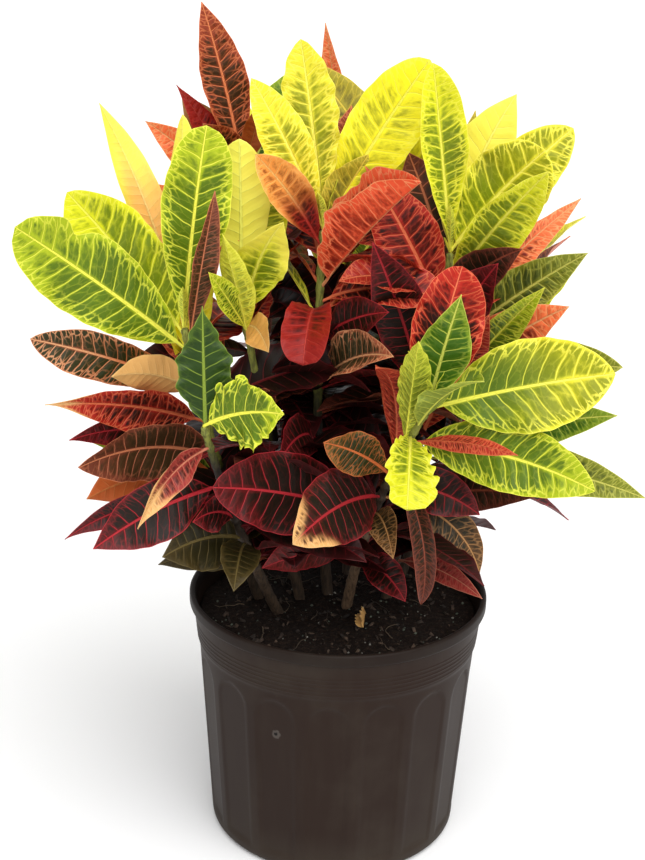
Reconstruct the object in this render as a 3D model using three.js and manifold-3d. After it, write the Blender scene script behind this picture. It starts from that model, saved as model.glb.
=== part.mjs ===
// A croton, an indoor foliage plant, in the black nursery pot that it is sold in.
// Millimetres, +Z up. The origin is the middle of the pot's underside, and -Y is the side shown first.
// An azimuth is measured about +Z from +X, so 270 degrees points at the viewer of that side.

import * as THREE from "three";
import { mergeVertices } from "three/addons/utils/BufferGeometryUtils.js";
import Module from "manifold-3d";

const wasm = await Module();
wasm.setup();

// The pot
const POT_HEIGHT = 240;
const RIM_RADIUS = 140;
const LIP_HEIGHT = 12;
const LIP_OVERHANG = 4;
const COLLAR_BOTTOM = 192;
const COLLAR_TOP_RADIUS = 135.5;
const BODY_TOP_RADIUS = 130.5;
const FOOT_RADIUS = 118;
const FOOT_ROUNDING = 8;
const WALL = 3;
const POT_SIDES = 32;
const PANELS = 16;
const PANEL_WIDTH = 39;
const PANEL_TOP = 182;
const PANEL_BOTTOM = 14;
const PANEL_DEPTH = 2.1;
const PANEL_TURN = -3;
const DRAIN_HOLES = 6;
const DRAIN_RADIUS = 7;
const DRAIN_RING_RADIUS = 92;

// The soil
const SOIL_TOP = 218;
const SOIL_LUMP = 1.6;
const SOIL_SIDES = 24;
const GAP = 0.3;
const ROOT_DEPTH = 205;

// The stems and leaves
const STEM_FOOT_RADIUS = 5.2;
const STEM_TOP_RADIUS = 2.8;
const STEM_SIDES = 6;
const STEM_STEPS = 4;
const BLADE_THICKNESS = 0.9;
const MIDRIB_THICKNESS = 1.8;
const STALK_HALF_WIDTH = 1.4;
const TIP_HALF_WIDTH = 0.7;
const LEAF_STEPS = 24;
const STALK_STEPS = 2;
const STALK_SHARE = STALK_STEPS / LEAF_STEPS;
const LEAF_STATIONS = [0, 2, 6, 11, 16, 21, 24];
const NARROW_STATIONS = [0, 2, 7, 13, 20, 24];
const PLAIN_STATIONS = [0, 2, 8, 17, 24];
const LOBED_STATIONS = [0, 2, 5, 7, 9, 11, 13, 15, 17, 19, 21, 23, 24];
const NARROW_LEAF = 40;
const LOBES = 4;
const BROAD_LEAF = 60;
const BROAD_RISE = 0.8;
const SLENDER_RISE = 1.05;
const LOBE_SHARE = 0.09;
const WAVES = 2.5;
const WAVE_SHARE = 0.045;
const CLEARANCE = 0.4;

// Each stem is a bent line from its root through the pull of its elbow to its top. Above the split it is
// green and carries the young crown, below it is bark and carries the old dark leaves. A leaf's row holds its
// place along the stem, the x, y and z of its tip, its width, how far it arches over, its roll about its
// midrib, the fold along the midrib, and where it is widest, as a share of the blade. Angles are degrees.
const STEMS = [
  {
    name: "left",
    root: [-72, 22],
    elbow: [-108, -10, 330],
    top: [-140, -45, 505],
    split: 0.62,
    fills: [{ count: 8, from: 60, span: 130, low: 0.34, high: 0.98, length: 150 }],
    leaves: [
      [0.93, -270, -110, 605, 72, 6, -90, 8, 0.6],
      [1.0, -120, -50, 680, 60, 6, 120, 8, 0.62],
      [0.97, -215, -40, 635, 78, 10, -88, 10, 0.52],
      [0.99, -230, 0, 685, 34, 22, 125, 8, 0.5],
      [0.95, -110, -95, 635, 28, 4, -170, 25, 0.5],
      [1.0, -145, 10, 680, 32, 8, 150, 14, 0.6],
      [0.82, -265, -90, 505, 46, 12, -95, 20, 0.6],
      [0.8, -195, -110, 480, 36, 40, 80, 15, 0.5],
      [0.72, -245, -130, 470, 46, 20, -105, 22, 0.4],
      [0.6, -220, -140, 410, 60, 40, -100, 22, 0.5],
      [0.58, -235, -90, 415, 36, 60, -95, 12, 0.5],
      [0.52, -220, -60, 410, 34, 40, -95, 12, 0.5],
      [0.55, -220, -100, 365, 50, 40, 105, 12, 0.5],
    ],
  },
  {
    name: "back_left",
    root: [-40, 55],
    elbow: [-75, 90, 400],
    top: [-98, 108, 610],
    split: 0.6,
    fills: [{ count: 12, from: 40, span: 190, low: 0.34, high: 0.98, length: 136 }],
    leaves: [
      [1.0, -135, 90, 765, 44, 8, -95, 14, 0.5],
      [0.95, -140, 100, 700, 28, 8, -70, 14, 0.45],
      [1.0, -80, 80, 675, 22, 4, 145, 14, 0.6],
      [0.9, -185, 80, 660, 36, 20, -90, 14, 0.5],
      [0.95, -155, 110, 680, 38, 12, -80, 14, 0.5],
      [1.0, -130, 70, 675, 36, 10, -125, 14, 0.5],
      [0.8, -205, 60, 605, 42, 20, -85, 14, 0.5],
    ],
  },
  {
    name: "middle",
    root: [-8, 30],
    elbow: [-30, 15, 400],
    top: [-22, -5, 585],
    split: 0.65,
    fills: [
      { count: 5, from: 50, span: 110, low: 0.34, high: 0.95, length: 150 },
      { count: 6, from: 200, span: 140, low: 0.28, high: 0.62, length: 105 },
    ],
    leaves: [
      [1.0, -45, 5, 745, 48, 4, -65, 12, 0.6],
      [1.0, 65, 10, 730, 62, 8, 75, 10, 0.58],
      [1.0, -85, -20, 715, 42, 10, -85, 10, 0.55],
      [0.95, -80, -40, 655, 44, 18, -100, 34, 0.6],
      [0.85, 55, -110, 650, 76, 12, 38, 68, 0.55],
      [0.98, 15, 0, 650, 46, 8, 100, 12, 0.5],
      [0.9, 0, 40, 685, 40, 10, 30, 12, 0.5],
      [0.72, 35, -70, 530, 38, 25, 80, 12, 0.5],
      [0.76, -36, -95, 489, 46, 120, 0, 26, 0.74],
      [0.6, 39, -105, 502, 52, 35, 65, 34, 0.5],
      [0.45, -55, -90, 400, 40, 60, -60, 14, 0.5],
    ],
  },
  {
    name: "right",
    root: [45, 25],
    elbow: [75, 20, 380],
    top: [90, 5, 565],
    split: 0.68,
    fills: [
      { count: 5, from: 20, span: 110, low: 0.34, high: 0.98, length: 150 },
      { count: 4, from: 230, span: 90, low: 0.25, high: 0.5, length: 105 },
    ],
    leaves: [
      [1.0, 164, -20, 661, 72, 14, 100, 8, 0.6],
      [1.0, 70, -25, 735, 48, 2, -130, 30, 0.62],
      [0.9, 162, -62, 651, 54, 10, 128, 30, 0.55],
      [0.97, 130, 20, 705, 58, 30, 65, 12, 0.5],
      [1.0, 40, 40, 705, 62, 10, -55, 12, 0.6],
      [0.95, -30, 60, 730, 60, 14, -45, 12, 0.5],
      [0.9, 110, 60, 680, 34, 10, 40, 12, 0.5],
      [0.95, 195, 40, 670, 56, 22, 65, 12, 0.6],
      [0.85, 35, -10, 655, 58, 10, -100, 12, 0.45],
      [0.95, 50, 15, 650, 54, 8, -75, 12, 0.5],
      [0.78, 205, 30, 610, 34, 14, 100, 16, 0.5],
      [0.72, 185, 10, 595, 46, 14, 75, 12, 0.5],
      [0.85, 145, -60, 585, 42, 30, 110, 26, 0.5],
      [0.7, 140, -40, 570, 48, 14, 110, 12, 0.5],
      [0.66, 205, 30, 545, 42, 20, 70, 12, 0.5],
      [0.6, 20, -50, 585, 52, 12, -125, 16, 0.5],
      [0.55, 165, -70, 555, 38, 8, 125, 18, 0.5],
      [0.6, 195, -30, 530, 52, 20, 75, 12, 0.5],
      [0.5, 120, -70, 530, 46, 10, 150, 12, 0.5],
      [0.6, 240, -50, 480, 52, 34, 75, 10, 0.55],
      [0.45, 245, -20, 425, 44, 20, 75, 10, 0.5],
      [0.45, 275, -30, 350, 44, 26, 70, 10, 0.5],
      [0.3, 170, -60, 360, 40, 40, 75, 14, 0.5],
      [0.15, 130, -60, 260, 22, 40, 60, 14, 0.5],
    ],
  },
  {
    name: "front_right",
    root: [7, 6],
    elbow: [18, -40, 330],
    top: [70, -100, 455],
    split: 0.78,
    fills: [{ count: 4, from: 290, span: 70, low: 0.34, high: 0.98, length: 150 }],
    leaves: [
      [1.0, 225, -100, 490, 80, 10, 70, 8, 0.52],
      [0.85, 205, -150, 400, 60, 30, 70, 8, 0.5],
      [1.0, 92, -110, 558, 46, 6, 120, 14, 0.45],
      [0.97, 85, -80, 575, 72, 10, 50, 34, 0.58],
      [0.82, 57, -142, 527, 34, 4, -20, 34, 0.5],
      [0.87, 51, -190, 400, 46, 75, -20, 20, 0.78],
      [0.85, 140, -165, 440, 17, 20, -130, 16, 0.5],
      [0.72, 20, -130, 490, 32, 100, -5, 14, 0.5],
      [0.5, -115, -130, 395, 72, 18, -75, 10, 0.55],
      [0.6, -40, -195, 370, 64, 35, -55, 12, 0.5],
      [0.7, -17, -152, 442, 40, 18, -108, 12, 0.55],
      [0.72, 70, -125, 285, 26, 110, 25, 40, 0.55],
      [0.65, 120, -90, 355, 44, 50, 65, 22, 0.5],
      [0.6, 125, -70, 290, 36, 80, 70, 14, 0.5],
      [0.52, 45, -120, 325, 30, 70, 35, 26, 0.5],
      [0.35, -70, -60, 285, 36, 30, 95, 12, 0.5],
      [0.3, 60, -70, 260, 34, 60, 45, 26, 0.5],
    ],
  },
  {
    name: "middle_left",
    root: [-34, 22],
    elbow: [-60, -10, 350],
    top: [-92, -15, 520],
    split: 0.7,
    fills: [
      { count: 4, from: 180, span: 100, low: 0.34, high: 0.9, length: 140 },
      { count: 5, from: 220, span: 130, low: 0.3, high: 0.6, length: 95 },
    ],
    leaves: [
      [1.0, -94, -30, 666, 52, 6, 10, 14, 0.6],
      [0.97, -75, 20, 650, 54, 10, 40, 12, 0.5],
      [0.95, -55, -70, 605, 50, 45, 155, 22, 0.5],
      [0.9, -105, -75, 595, 30, 6, 0, 14, 0.45],
      [0.92, -115, -70, 565, 24, 6, -105, 14, 0.5],
      [0.62, -90, -70, 455, 36, 50, -135, 14, 0.5],
      [0.93, -66, -70, 492, 30, 70, 60, 14, 0.5],
    ],
  },
  {
    name: "back_right",
    root: [55, 60],
    elbow: [110, 90, 350],
    top: [150, 110, 520],
    split: 0.6,
    fills: [{ count: 16, from: 350, span: 165, low: 0.32, high: 1.0, length: 132 }],
    leaves: [],
  },
  {
    name: "back",
    root: [10, 75],
    elbow: [10, 130, 380],
    top: [0, 150, 560],
    split: 0.6,
    fills: [
      { count: 16, from: 0, span: 210, low: 0.32, high: 1.0, length: 155 },
      { count: 4, from: 210, span: 120, low: 0.3, high: 0.7, length: 110 },
    ],
    leaves: [[1.0, -25, 130, 745, 30, 8, -165, 14, 0.5]],
  },
  {
    name: "front_left",
    root: [-52, -4],
    elbow: [-95, -75, 330],
    top: [-118, -115, 440],
    split: 0.94,
    fills: [{ count: 3, from: 200, span: 120, low: 0.34, high: 0.7, length: 120 }],
    lobed: [
      [0.97, -120, -100, 540, 46, -6, 0, 8, 0.42],
      [1.0, -50, -150, 465, 58, 35, 90, 8, 0.5],
    ],
    leaves: [
      [0.9, -165, -195, 380, 30, 55, -75, 30, 0.45],
      [0.72, -205, -170, 350, 56, 25, -70, 20, 0.5],
      [0.6, -235, -130, 340, 34, 60, -85, 26, 0.45],
      [0.45, -150, -150, 335, 56, 35, -75, 12, 0.5],
      [0.55, -130, -130, 360, 36, 50, -95, 12, 0.5],
      [0.42, -90, -150, 305, 36, 60, -15, 12, 0.5],
      [0.3, -160, -90, 300, 30, 50, -85, 12, 0.5],
    ],
  },
];

// A leaf that would touch its neighbours is bent by the first of these turns, in degrees of rise and of
// azimuth, that brings it clear.
const BENDS = [
  [0, 0],
  [3, 0],
  [-3, 0],
  [0, 4],
  [0, -4],
  [6, 0],
  [-6, 0],
  [0, 8],
  [0, -8],
  [6, 6],
  [6, -6],
  [-6, 6],
  [-6, -6],
  [10, 0],
  [-10, 0],
  [0, 13],
  [0, -13],
  [12, 8],
  [12, -8],
  [-12, 8],
  [-12, -8],
  [0, 20],
  [0, -20],
];

// A dry leaf that fell, with its stalk stuck in the soil
const DRY_LEAF = {
  foot: [26, -12, 217],
  tip: [23, -56, 226],
  width: 16,
  droop: 70,
  roll: 60,
  fold: 50,
  widest: 0.7,
};

const toRadians = THREE.MathUtils.degToRad;

// Solids

// A closed surface of points and triangles as a solid that can be joined and cut.
function solidFrom(points, triangles) {
  const geometry = new THREE.BufferGeometry();
  geometry.setAttribute("position", new THREE.Float32BufferAttribute(points.flat(), 3));
  geometry.setIndex(triangles.flat());
  return solidOf(geometry);
}

function solidOf(geometry) {
  const bare = geometry.index ? geometry.toNonIndexed() : geometry.clone();
  bare.deleteAttribute("normal");
  bare.deleteAttribute("uv");
  const merged = mergeVertices(bare, 1e-3);
  const corners = merged.index.array;
  const triangles = [];
  for (let i = 0; i < corners.length; i += 3) {
    const [a, b, c] = corners.slice(i, i + 3);
    if (a !== b && b !== c && c !== a) triangles.push(a, b, c);
  }
  const mesh = new wasm.Mesh({
    numProp: 3,
    vertProperties: new Float32Array(merged.attributes.position.array),
    triVerts: new Uint32Array(triangles),
  });
  return new wasm.Manifold(mesh);
}

function meshOf(name, solid, color, roughness) {
  const { vertProperties, triVerts } = solid.getMesh();
  const geometry = new THREE.BufferGeometry();
  geometry.setAttribute("position", new THREE.BufferAttribute(new Float32Array(vertProperties), 3));
  geometry.setIndex(new THREE.BufferAttribute(new Uint32Array(triVerts), 1));
  geometry.computeVertexNormals();
  const mesh = new THREE.Mesh(geometry, new THREE.MeshStandardMaterial({ color, roughness, metalness: 0 }));
  mesh.name = name;
  return mesh;
}

// Rings of equal count, joined in order and closed by a fan at each end.
function loft(rings, flipped = () => false) {
  const sides = rings[0].length;
  const points = rings.flat();
  const triangles = [];
  for (let i = 0; i + 1 < rings.length; i++) {
    for (let k = 0; k < sides; k++) {
      const a = i * sides + k;
      const b = i * sides + ((k + 1) % sides);
      const c = b + sides;
      const d = a + sides;
      if (flipped(k)) triangles.push([a, b, d], [b, c, d]);
      else triangles.push([a, b, c], [a, c, d]);
    }
  }
  const last = points.length - sides;
  for (let k = 1; k + 1 < sides; k++) {
    triangles.push([0, k + 1, k], [last, last + k, last + k + 1]);
  }
  return solidFrom(points, triangles);
}

// The pot

// Radius of the body's outer wall at a height below the collar.
function bodyRadius(z) {
  return THREE.MathUtils.mapLinear(z, FOOT_ROUNDING, COLLAR_BOTTOM, FOOT_RADIUS, BODY_TOP_RADIUS);
}

function potShell() {
  const lipBottom = POT_HEIGHT - LIP_HEIGHT;
  const profile = [
    [0, 0],
    [FOOT_RADIUS - FOOT_ROUNDING, 0],
    [FOOT_RADIUS - FOOT_ROUNDING * 0.3, FOOT_ROUNDING * 0.3],
    [FOOT_RADIUS, FOOT_ROUNDING],
    [BODY_TOP_RADIUS, COLLAR_BOTTOM - 3],
    [BODY_TOP_RADIUS + 1, COLLAR_BOTTOM],
    [COLLAR_TOP_RADIUS, lipBottom],
    [RIM_RADIUS - 1, lipBottom],
    [RIM_RADIUS, lipBottom + 3],
    [RIM_RADIUS, POT_HEIGHT - 3],
    [RIM_RADIUS - 2, POT_HEIGHT],
    [RIM_RADIUS - LIP_OVERHANG, POT_HEIGHT],
    [innerRadius(lipBottom), lipBottom],
    [innerRadius(COLLAR_BOTTOM), COLLAR_BOTTOM],
    [innerRadius(FOOT_ROUNDING), FOOT_ROUNDING],
    [innerRadius(FOOT_ROUNDING) - 5, WALL],
    [0, WALL],
  ];
  const points = profile.map(([r, z]) => new THREE.Vector2(r, z));
  const lathe = new THREE.LatheGeometry(points, POT_SIDES).rotateX(Math.PI / 2);
  return solidOf(lathe.rotateZ(toRadians(PANEL_TURN)));
}

function innerRadius(z) {
  if (z >= POT_HEIGHT - LIP_HEIGHT) return COLLAR_TOP_RADIUS - WALL;
  return bodyRadius(z) - WALL;
}

// One arched panel's recess, cut square to the sloping wall and standing proud of it outside.
function panelCutter() {
  const half = PANEL_WIDTH / 2;
  const shape = new THREE.Shape();
  shape.moveTo(-half * 0.9, PANEL_BOTTOM);
  shape.lineTo(half * 0.9, PANEL_BOTTOM);
  shape.lineTo(half, PANEL_TOP - half);
  shape.absarc(0, PANEL_TOP - half, half, 0, Math.PI, false);
  shape.closePath();
  const slab = new THREE.ExtrudeGeometry(shape, { depth: 8, bevelEnabled: false, curveSegments: 3 });
  const lean = Math.atan2(BODY_TOP_RADIUS - FOOT_RADIUS, COLLAR_BOTTOM - FOOT_ROUNDING);
  slab.rotateX(Math.PI / 2 + lean);
  slab.translate(0, -(bodyRadius(0) - PANEL_DEPTH), 0);
  return slab;
}

function drainCutter() {
  const hole = new THREE.CylinderGeometry(DRAIN_RADIUS, DRAIN_RADIUS, 4 * WALL, 6);
  return hole.rotateX(Math.PI / 2).translate(0, -DRAIN_RING_RADIUS, 0);
}

function makePot() {
  let pot = potShell();
  for (let i = 0; i < PANELS; i++) {
    const turn = toRadians(PANEL_TURN + (i * 360) / PANELS);
    pot = pot.subtract(solidOf(panelCutter().rotateZ(turn)));
  }
  for (let i = 0; i < DRAIN_HOLES; i++) {
    const turn = toRadians(PANEL_TURN + ((i + 0.25) * 360) / DRAIN_HOLES);
    pot = pot.subtract(solidOf(drainCutter().rotateZ(turn)));
  }
  return pot;
}

// The soil

function soilHeight(x, y) {
  return SOIL_TOP + SOIL_LUMP * (Math.sin(x / 19) * Math.cos(y / 23 + 1) + 0.5 * Math.sin((x + y) / 9));
}

// A plug that fills the pot to the soil line, with a lumpy top.
function makeSoil() {
  const shares = [1, 0.72, 0.36];
  const edge = innerRadius(SOIL_TOP) - 1;
  const ringAt = (radius, height) =>
    Array.from({ length: SOIL_SIDES }, (_, k) => {
      const angle = (k * 2 * Math.PI) / SOIL_SIDES;
      const x = radius * Math.cos(angle);
      const y = radius * Math.sin(angle);
      return [x, y, height ?? soilHeight(x, y)];
    });
  const rings = [
    ringAt(innerRadius(FOOT_ROUNDING) - 6, WALL + GAP),
    ringAt(innerRadius(FOOT_ROUNDING) - 1, FOOT_ROUNDING + GAP),
    ringAt(innerRadius(COLLAR_BOTTOM) - 1, COLLAR_BOTTOM),
    ...shares.map((share) => ringAt(edge * share)),
  ];
  return loft(rings);
}

// The leaves

// Half the blade's width at a share of its length, 1 at the widest. A slender leaf tapers more slowly to both
// ends than a broad one.
function outline(share, { width, widest }) {
  const rise = width >= BROAD_LEAF ? BROAD_RISE : SLENDER_RISE;
  const fall = (rise * (1 - widest)) / widest;
  const peak = widest ** rise * (1 - widest) ** fall;
  return (share ** rise * (1 - share) ** fall) / peak;
}

// The azimuth, rise and length of the leaf that grows at base and ends at tip.
function aimedAt(base, tip, droop) {
  const reach = new THREE.Vector3().subVectors(tip, base);
  let chord = 0;
  for (let i = 0; i < LEAF_STEPS; i++) {
    chord += Math.cos(toRadians(droop * ((i + 0.5) / LEAF_STEPS - 0.5))) / LEAF_STEPS;
  }
  return {
    azimuth: THREE.MathUtils.radToDeg(Math.atan2(reach.y, reach.x)),
    rise: THREE.MathUtils.radToDeg(Math.asin(reach.z / reach.length())) + droop / 2,
    length: reach.length() / chord,
  };
}

function heading(azimuth, rise) {
  const a = toRadians(azimuth);
  const r = toRadians(rise);
  return new THREE.Vector3(Math.cos(r) * Math.cos(a), Math.cos(r) * Math.sin(a), Math.sin(r));
}

// The points of the midrib, which arches over by droop from base to tip.
function midribOf(leaf) {
  const points = [leaf.base.clone()];
  for (let i = 0; i < LEAF_STEPS; i++) {
    const along = heading(leaf.azimuth, leaf.rise - (leaf.droop * (i + 0.5)) / LEAF_STEPS);
    points.push(points[i].clone().addScaledVector(along, leaf.length / LEAF_STEPS));
  }
  return points;
}

// A ring of six points round the leaf at a step: left, midrib and right above, then the same below. On the
// stalk the points at each side fall together, so that it is square.
function leafRing(leaf, midrib, step) {
  const share = step / LEAF_STEPS;
  const blade = Math.max(0, (share - STALK_SHARE) / (1 - STALK_SHARE));
  const along = heading(leaf.azimuth, leaf.rise - leaf.droop * share);
  const azimuth = toRadians(leaf.azimuth);
  const level = new THREE.Vector3(-Math.sin(azimuth), Math.cos(azimuth), 0);
  const across = level.applyAxisAngle(along, toRadians(leaf.roll));
  const up = new THREE.Vector3().crossVectors(along, across);
  const onStalk = blade === 0;
  const width = outline(blade, leaf);
  const lobe = leaf.lobed ? 1 + LOBE_SHARE * Math.sin(2 * Math.PI * LOBES * blade) : 1;
  const least = onStalk ? STALK_HALF_WIDTH : TIP_HALF_WIDTH;
  const half = Math.max(least, (leaf.width / 2) * width * lobe);
  const fold = onStalk ? 0 : toRadians(leaf.fold);
  const corner = (side, face) => {
    const wave = onStalk ? 0 : Math.sin(2 * Math.PI * WAVES * blade + (side < 0 ? 0 : 1.9));
    const lift = Math.abs(side) * (half * Math.sin(fold) + WAVE_SHARE * leaf.width * width * wave);
    const bladeThickness = side === 0 ? MIDRIB_THICKNESS : BLADE_THICKNESS;
    const stalkThickness = side === 0 ? 2 * STALK_HALF_WIDTH : 0;
    const thickness = onStalk ? stalkThickness : bladeThickness;
    const point = midrib[step].clone().addScaledVector(across, side * half * Math.cos(fold));
    return point.addScaledVector(up, lift + (face * thickness) / 2).toArray();
  };
  return [corner(-1, 1), corner(0, 1), corner(1, 1), corner(1, -1), corner(0, -1), corner(-1, -1)];
}

// The whole leaf, or only its blade, as a thin solid whose two faces are split into triangles alike.
function leafSolid(leaf, bladeOnly = false) {
  const midrib = midribOf(leaf);
  const rings = leaf.stations.slice(bladeOnly ? 1 : 0).map((step) => leafRing(leaf, midrib, step).reverse());
  return loft(rings, (k) => k < 2);
}

// A stretch of a stem, thinner towards its top.
function stemSolid(curve, from, to) {
  const rings = [];
  for (let i = 0; i <= STEM_STEPS; i++) {
    const t = THREE.MathUtils.lerp(from, to, i / STEM_STEPS);
    rings.push(stemRing(curve.getPoint(t), curve.getTangent(t), stemRadius(t)));
  }
  return loft(rings);
}

function stemRadius(t) {
  return THREE.MathUtils.lerp(STEM_FOOT_RADIUS, STEM_TOP_RADIUS, t);
}

function stemRing(centre, along, radius) {
  const across = new THREE.Vector3(0, 1, 0).cross(along).normalize();
  const up = new THREE.Vector3().crossVectors(along, across);
  return Array.from({ length: STEM_SIDES }, (_, k) => {
    const angle = (k * 2 * Math.PI) / STEM_SIDES;
    const point = centre.clone().addScaledVector(across, radius * Math.cos(angle));
    return point.addScaledVector(up, radius * Math.sin(angle)).toArray();
  });
}

// Seeded draws between 0 and 1
let seed = 20;
function draw() {
  seed = (seed * 16807) % 2147483647;
  return seed / 2147483647;
}

function leafFromRow(curve, row, lobed = false) {
  const [place, x, y, z, width, droop, roll, fold, widest] = row;
  const base = curve.getPoint(place);
  const plain = width > NARROW_LEAF ? LEAF_STATIONS : NARROW_STATIONS;
  const stations = lobed ? LOBED_STATIONS : plain;
  const aim = aimedAt(base, new THREE.Vector3(x, y, z), droop);
  return { place, base, width, droop, roll, fold, widest, lobed, stations, kept: true, ...aim };
}

// A leaf on the side that the rows leave bare, steeper the higher it grows.
function leafFromRule(curve, fill, index) {
  const place = THREE.MathUtils.lerp(fill.low, fill.high, (index + 0.5) / fill.count);
  const length = fill.length * (0.85 + 0.3 * draw());
  return {
    place,
    base: curve.getPoint(place),
    azimuth: fill.from + ((137.5 * index + 20 * draw()) % fill.span),
    rise: 8 + 62 * place ** 2 + 16 * draw(),
    length,
    width: length * (0.3 + 0.08 * draw()),
    droop: 55 - 40 * place + 20 * draw(),
    roll: 50 * (draw() - 0.5),
    fold: 12,
    widest: 0.5,
    lobed: false,
    stations: PLAIN_STATIONS,
    kept: false,
  };
}

function curveOf(stem) {
  return new THREE.QuadraticBezierCurve3(
    new THREE.Vector3(...stem.root, ROOT_DEPTH),
    new THREE.Vector3(...stem.elbow),
    new THREE.Vector3(...stem.top),
  );
}

// Placing

function grown(box, by) {
  return new THREE.Box3(
    new THREE.Vector3(...box.min).subScalar(by),
    new THREE.Vector3(...box.max).addScalar(by),
  );
}

function boxed(solid, node) {
  return { solid, node, box: grown(solid.boundingBox(), CLEARANCE) };
}

function touches(item, others) {
  return others.some(
    (other) => item.box.intersectsBox(other.box) && item.solid.minGap(other.solid, 2 * CLEARANCE) < CLEARANCE,
  );
}

// The first bend of the leaf that keeps clear of the other nodes and of the blades of its own node. Where
// there is none, a leaf with a row of its own may cross the blades of its node, and a leaf made by the rule
// is left out.
function placedLeaf(leaf, node, placed) {
  const others = placed.filter((item) => item.node !== node && !item.bladeOnly);
  const own = placed.filter((item) => item.node === node && item.bladeOnly);
  let spare = null;
  for (const [rise, azimuth] of BENDS) {
    const bent = { ...leaf, rise: leaf.rise + rise, azimuth: leaf.azimuth + azimuth };
    const whole = boxed(leafSolid(bent), node);
    if (touches(whole, others)) continue;
    const blade = { ...boxed(leafSolid(bent, true), node), bladeOnly: true };
    if (!touches(blade, own)) return [whole, blade];
    if (leaf.kept) spare ??= [whole, blade];
  }
  return spare ?? [];
}

// The lower, dark node and the crown of each stem, as the stems first and the leaves after them in turn.
function makePlant(obstacles) {
  const nodes = new Map();
  const placed = obstacles.map((solid) => boxed(solid, "pot"));
  const add = (node, pieces) => {
    placed.push(...pieces);
    nodes.get(node).push(...pieces.filter((piece) => !piece.bladeOnly).map((piece) => piece.solid));
  };
  for (const stem of STEMS) {
    const curve = curveOf(stem);
    const cut = GAP / 2 / curve.getLength();
    nodes.set(`stem_${stem.name}_lower`, []);
    nodes.set(`stem_${stem.name}_crown`, []);
    const lower = stemSolid(curve, 0, stem.split - cut);
    const crown = stemSolid(curve, stem.split + cut, 1);
    add(`stem_${stem.name}_lower`, [boxed(lower, `stem_${stem.name}_lower`)]);
    add(`stem_${stem.name}_crown`, [boxed(crown, `stem_${stem.name}_crown`)]);
  }
  const grow = (stem, leaf) => {
    const node = `stem_${stem.name}_${leaf.place < stem.split ? "lower" : "crown"}`;
    add(node, placedLeaf(leaf, node, placed));
  };
  for (const stem of STEMS) {
    const curve = curveOf(stem);
    for (const row of stem.lobed ?? []) grow(stem, leafFromRow(curve, row, true));
    for (const row of stem.leaves) grow(stem, leafFromRow(curve, row));
  }
  for (const stem of STEMS) {
    const curve = curveOf(stem);
    for (const fill of stem.fills) {
      for (let i = 0; i < fill.count; i++) grow(stem, leafFromRule(curve, fill, i));
    }
  }
  return nodes;
}

// A plain hole for what stands at base and leans along tangent, a little wider and deeper than it is.
function holeAt(base, tangent, radius) {
  const ends = [-GAP, SOIL_TOP + 10 - base.z];
  const centres = ends.map((reach) => base.clone().addScaledVector(tangent, reach));
  return loft(centres.map((centre) => stemRing(centre, tangent, radius + 1.5 * GAP)));
}

function stemHole(stem) {
  const curve = curveOf(stem);
  return holeAt(curve.getPoint(0), curve.getTangent(0), STEM_FOOT_RADIUS);
}

function dryLeafShape() {
  const base = new THREE.Vector3(...DRY_LEAF.foot);
  const aim = aimedAt(base, new THREE.Vector3(...DRY_LEAF.tip), DRY_LEAF.droop);
  return { ...DRY_LEAF, base, stations: NARROW_STATIONS, ...aim };
}

function makeDryLeaf() {
  return leafSolid(dryLeafShape());
}

function dryLeafHole() {
  const shape = dryLeafShape();
  return holeAt(shape.base, heading(shape.azimuth, shape.rise), STALK_HALF_WIDTH + GAP);
}

const pot = makePot();
const dryLeaf = makeDryLeaf();
let soil = makeSoil().subtract(dryLeafHole());
for (const stem of STEMS) soil = soil.subtract(stemHole(stem));
const plant = makePlant([pot, soil, dryLeaf]);

const object = new THREE.Group();
object.name = "potted_croton";
object.add(meshOf("pot", pot, 0x1d1a18, 0.5));
object.add(meshOf("soil", soil, 0x2a201b, 0.95));
object.add(meshOf("dry_leaf", dryLeaf, 0x8a5a34, 0.8));
for (const [name, solids] of plant) {
  const colour = name.endsWith("crown") ? 0xa9bf2a : 0x7c1a26;
  object.add(meshOf(name, wasm.Manifold.union(solids), colour, 0.45));
}

export default object;
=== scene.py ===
"""A croton, an indoor foliage plant, in its black nursery pot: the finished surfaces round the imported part.

Sizes are millimetres and angles are degrees, as in the part, and each mesh is put down in metres.
"""

from typing import NamedTuple

import bpy
import numpy as np
from mathutils import Matrix, Vector


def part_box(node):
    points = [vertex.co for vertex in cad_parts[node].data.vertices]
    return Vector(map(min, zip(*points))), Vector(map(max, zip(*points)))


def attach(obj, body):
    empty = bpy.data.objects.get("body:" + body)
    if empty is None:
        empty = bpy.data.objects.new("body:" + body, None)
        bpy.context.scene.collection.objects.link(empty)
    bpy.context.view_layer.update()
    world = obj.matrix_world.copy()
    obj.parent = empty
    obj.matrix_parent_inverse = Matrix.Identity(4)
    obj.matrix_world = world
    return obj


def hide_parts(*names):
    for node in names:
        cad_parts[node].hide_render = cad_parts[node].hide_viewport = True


bl_info = {
    "name": "Potted croton",
    "version": (1, 0, 0),
    "blender": (4, 5, 0),
    "location": "3D View > Sidebar > Croton",
    "description": "Adds the pot, soil, stems and veined leaves of a croton round its packed part",
    "category": "Object",
}

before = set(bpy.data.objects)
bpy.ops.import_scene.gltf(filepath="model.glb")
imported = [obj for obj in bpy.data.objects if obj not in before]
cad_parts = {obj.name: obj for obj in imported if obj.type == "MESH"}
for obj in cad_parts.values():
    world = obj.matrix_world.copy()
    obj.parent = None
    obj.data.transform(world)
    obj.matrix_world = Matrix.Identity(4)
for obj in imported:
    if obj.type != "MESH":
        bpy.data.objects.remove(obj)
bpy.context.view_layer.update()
METRES = 0.001

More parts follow.
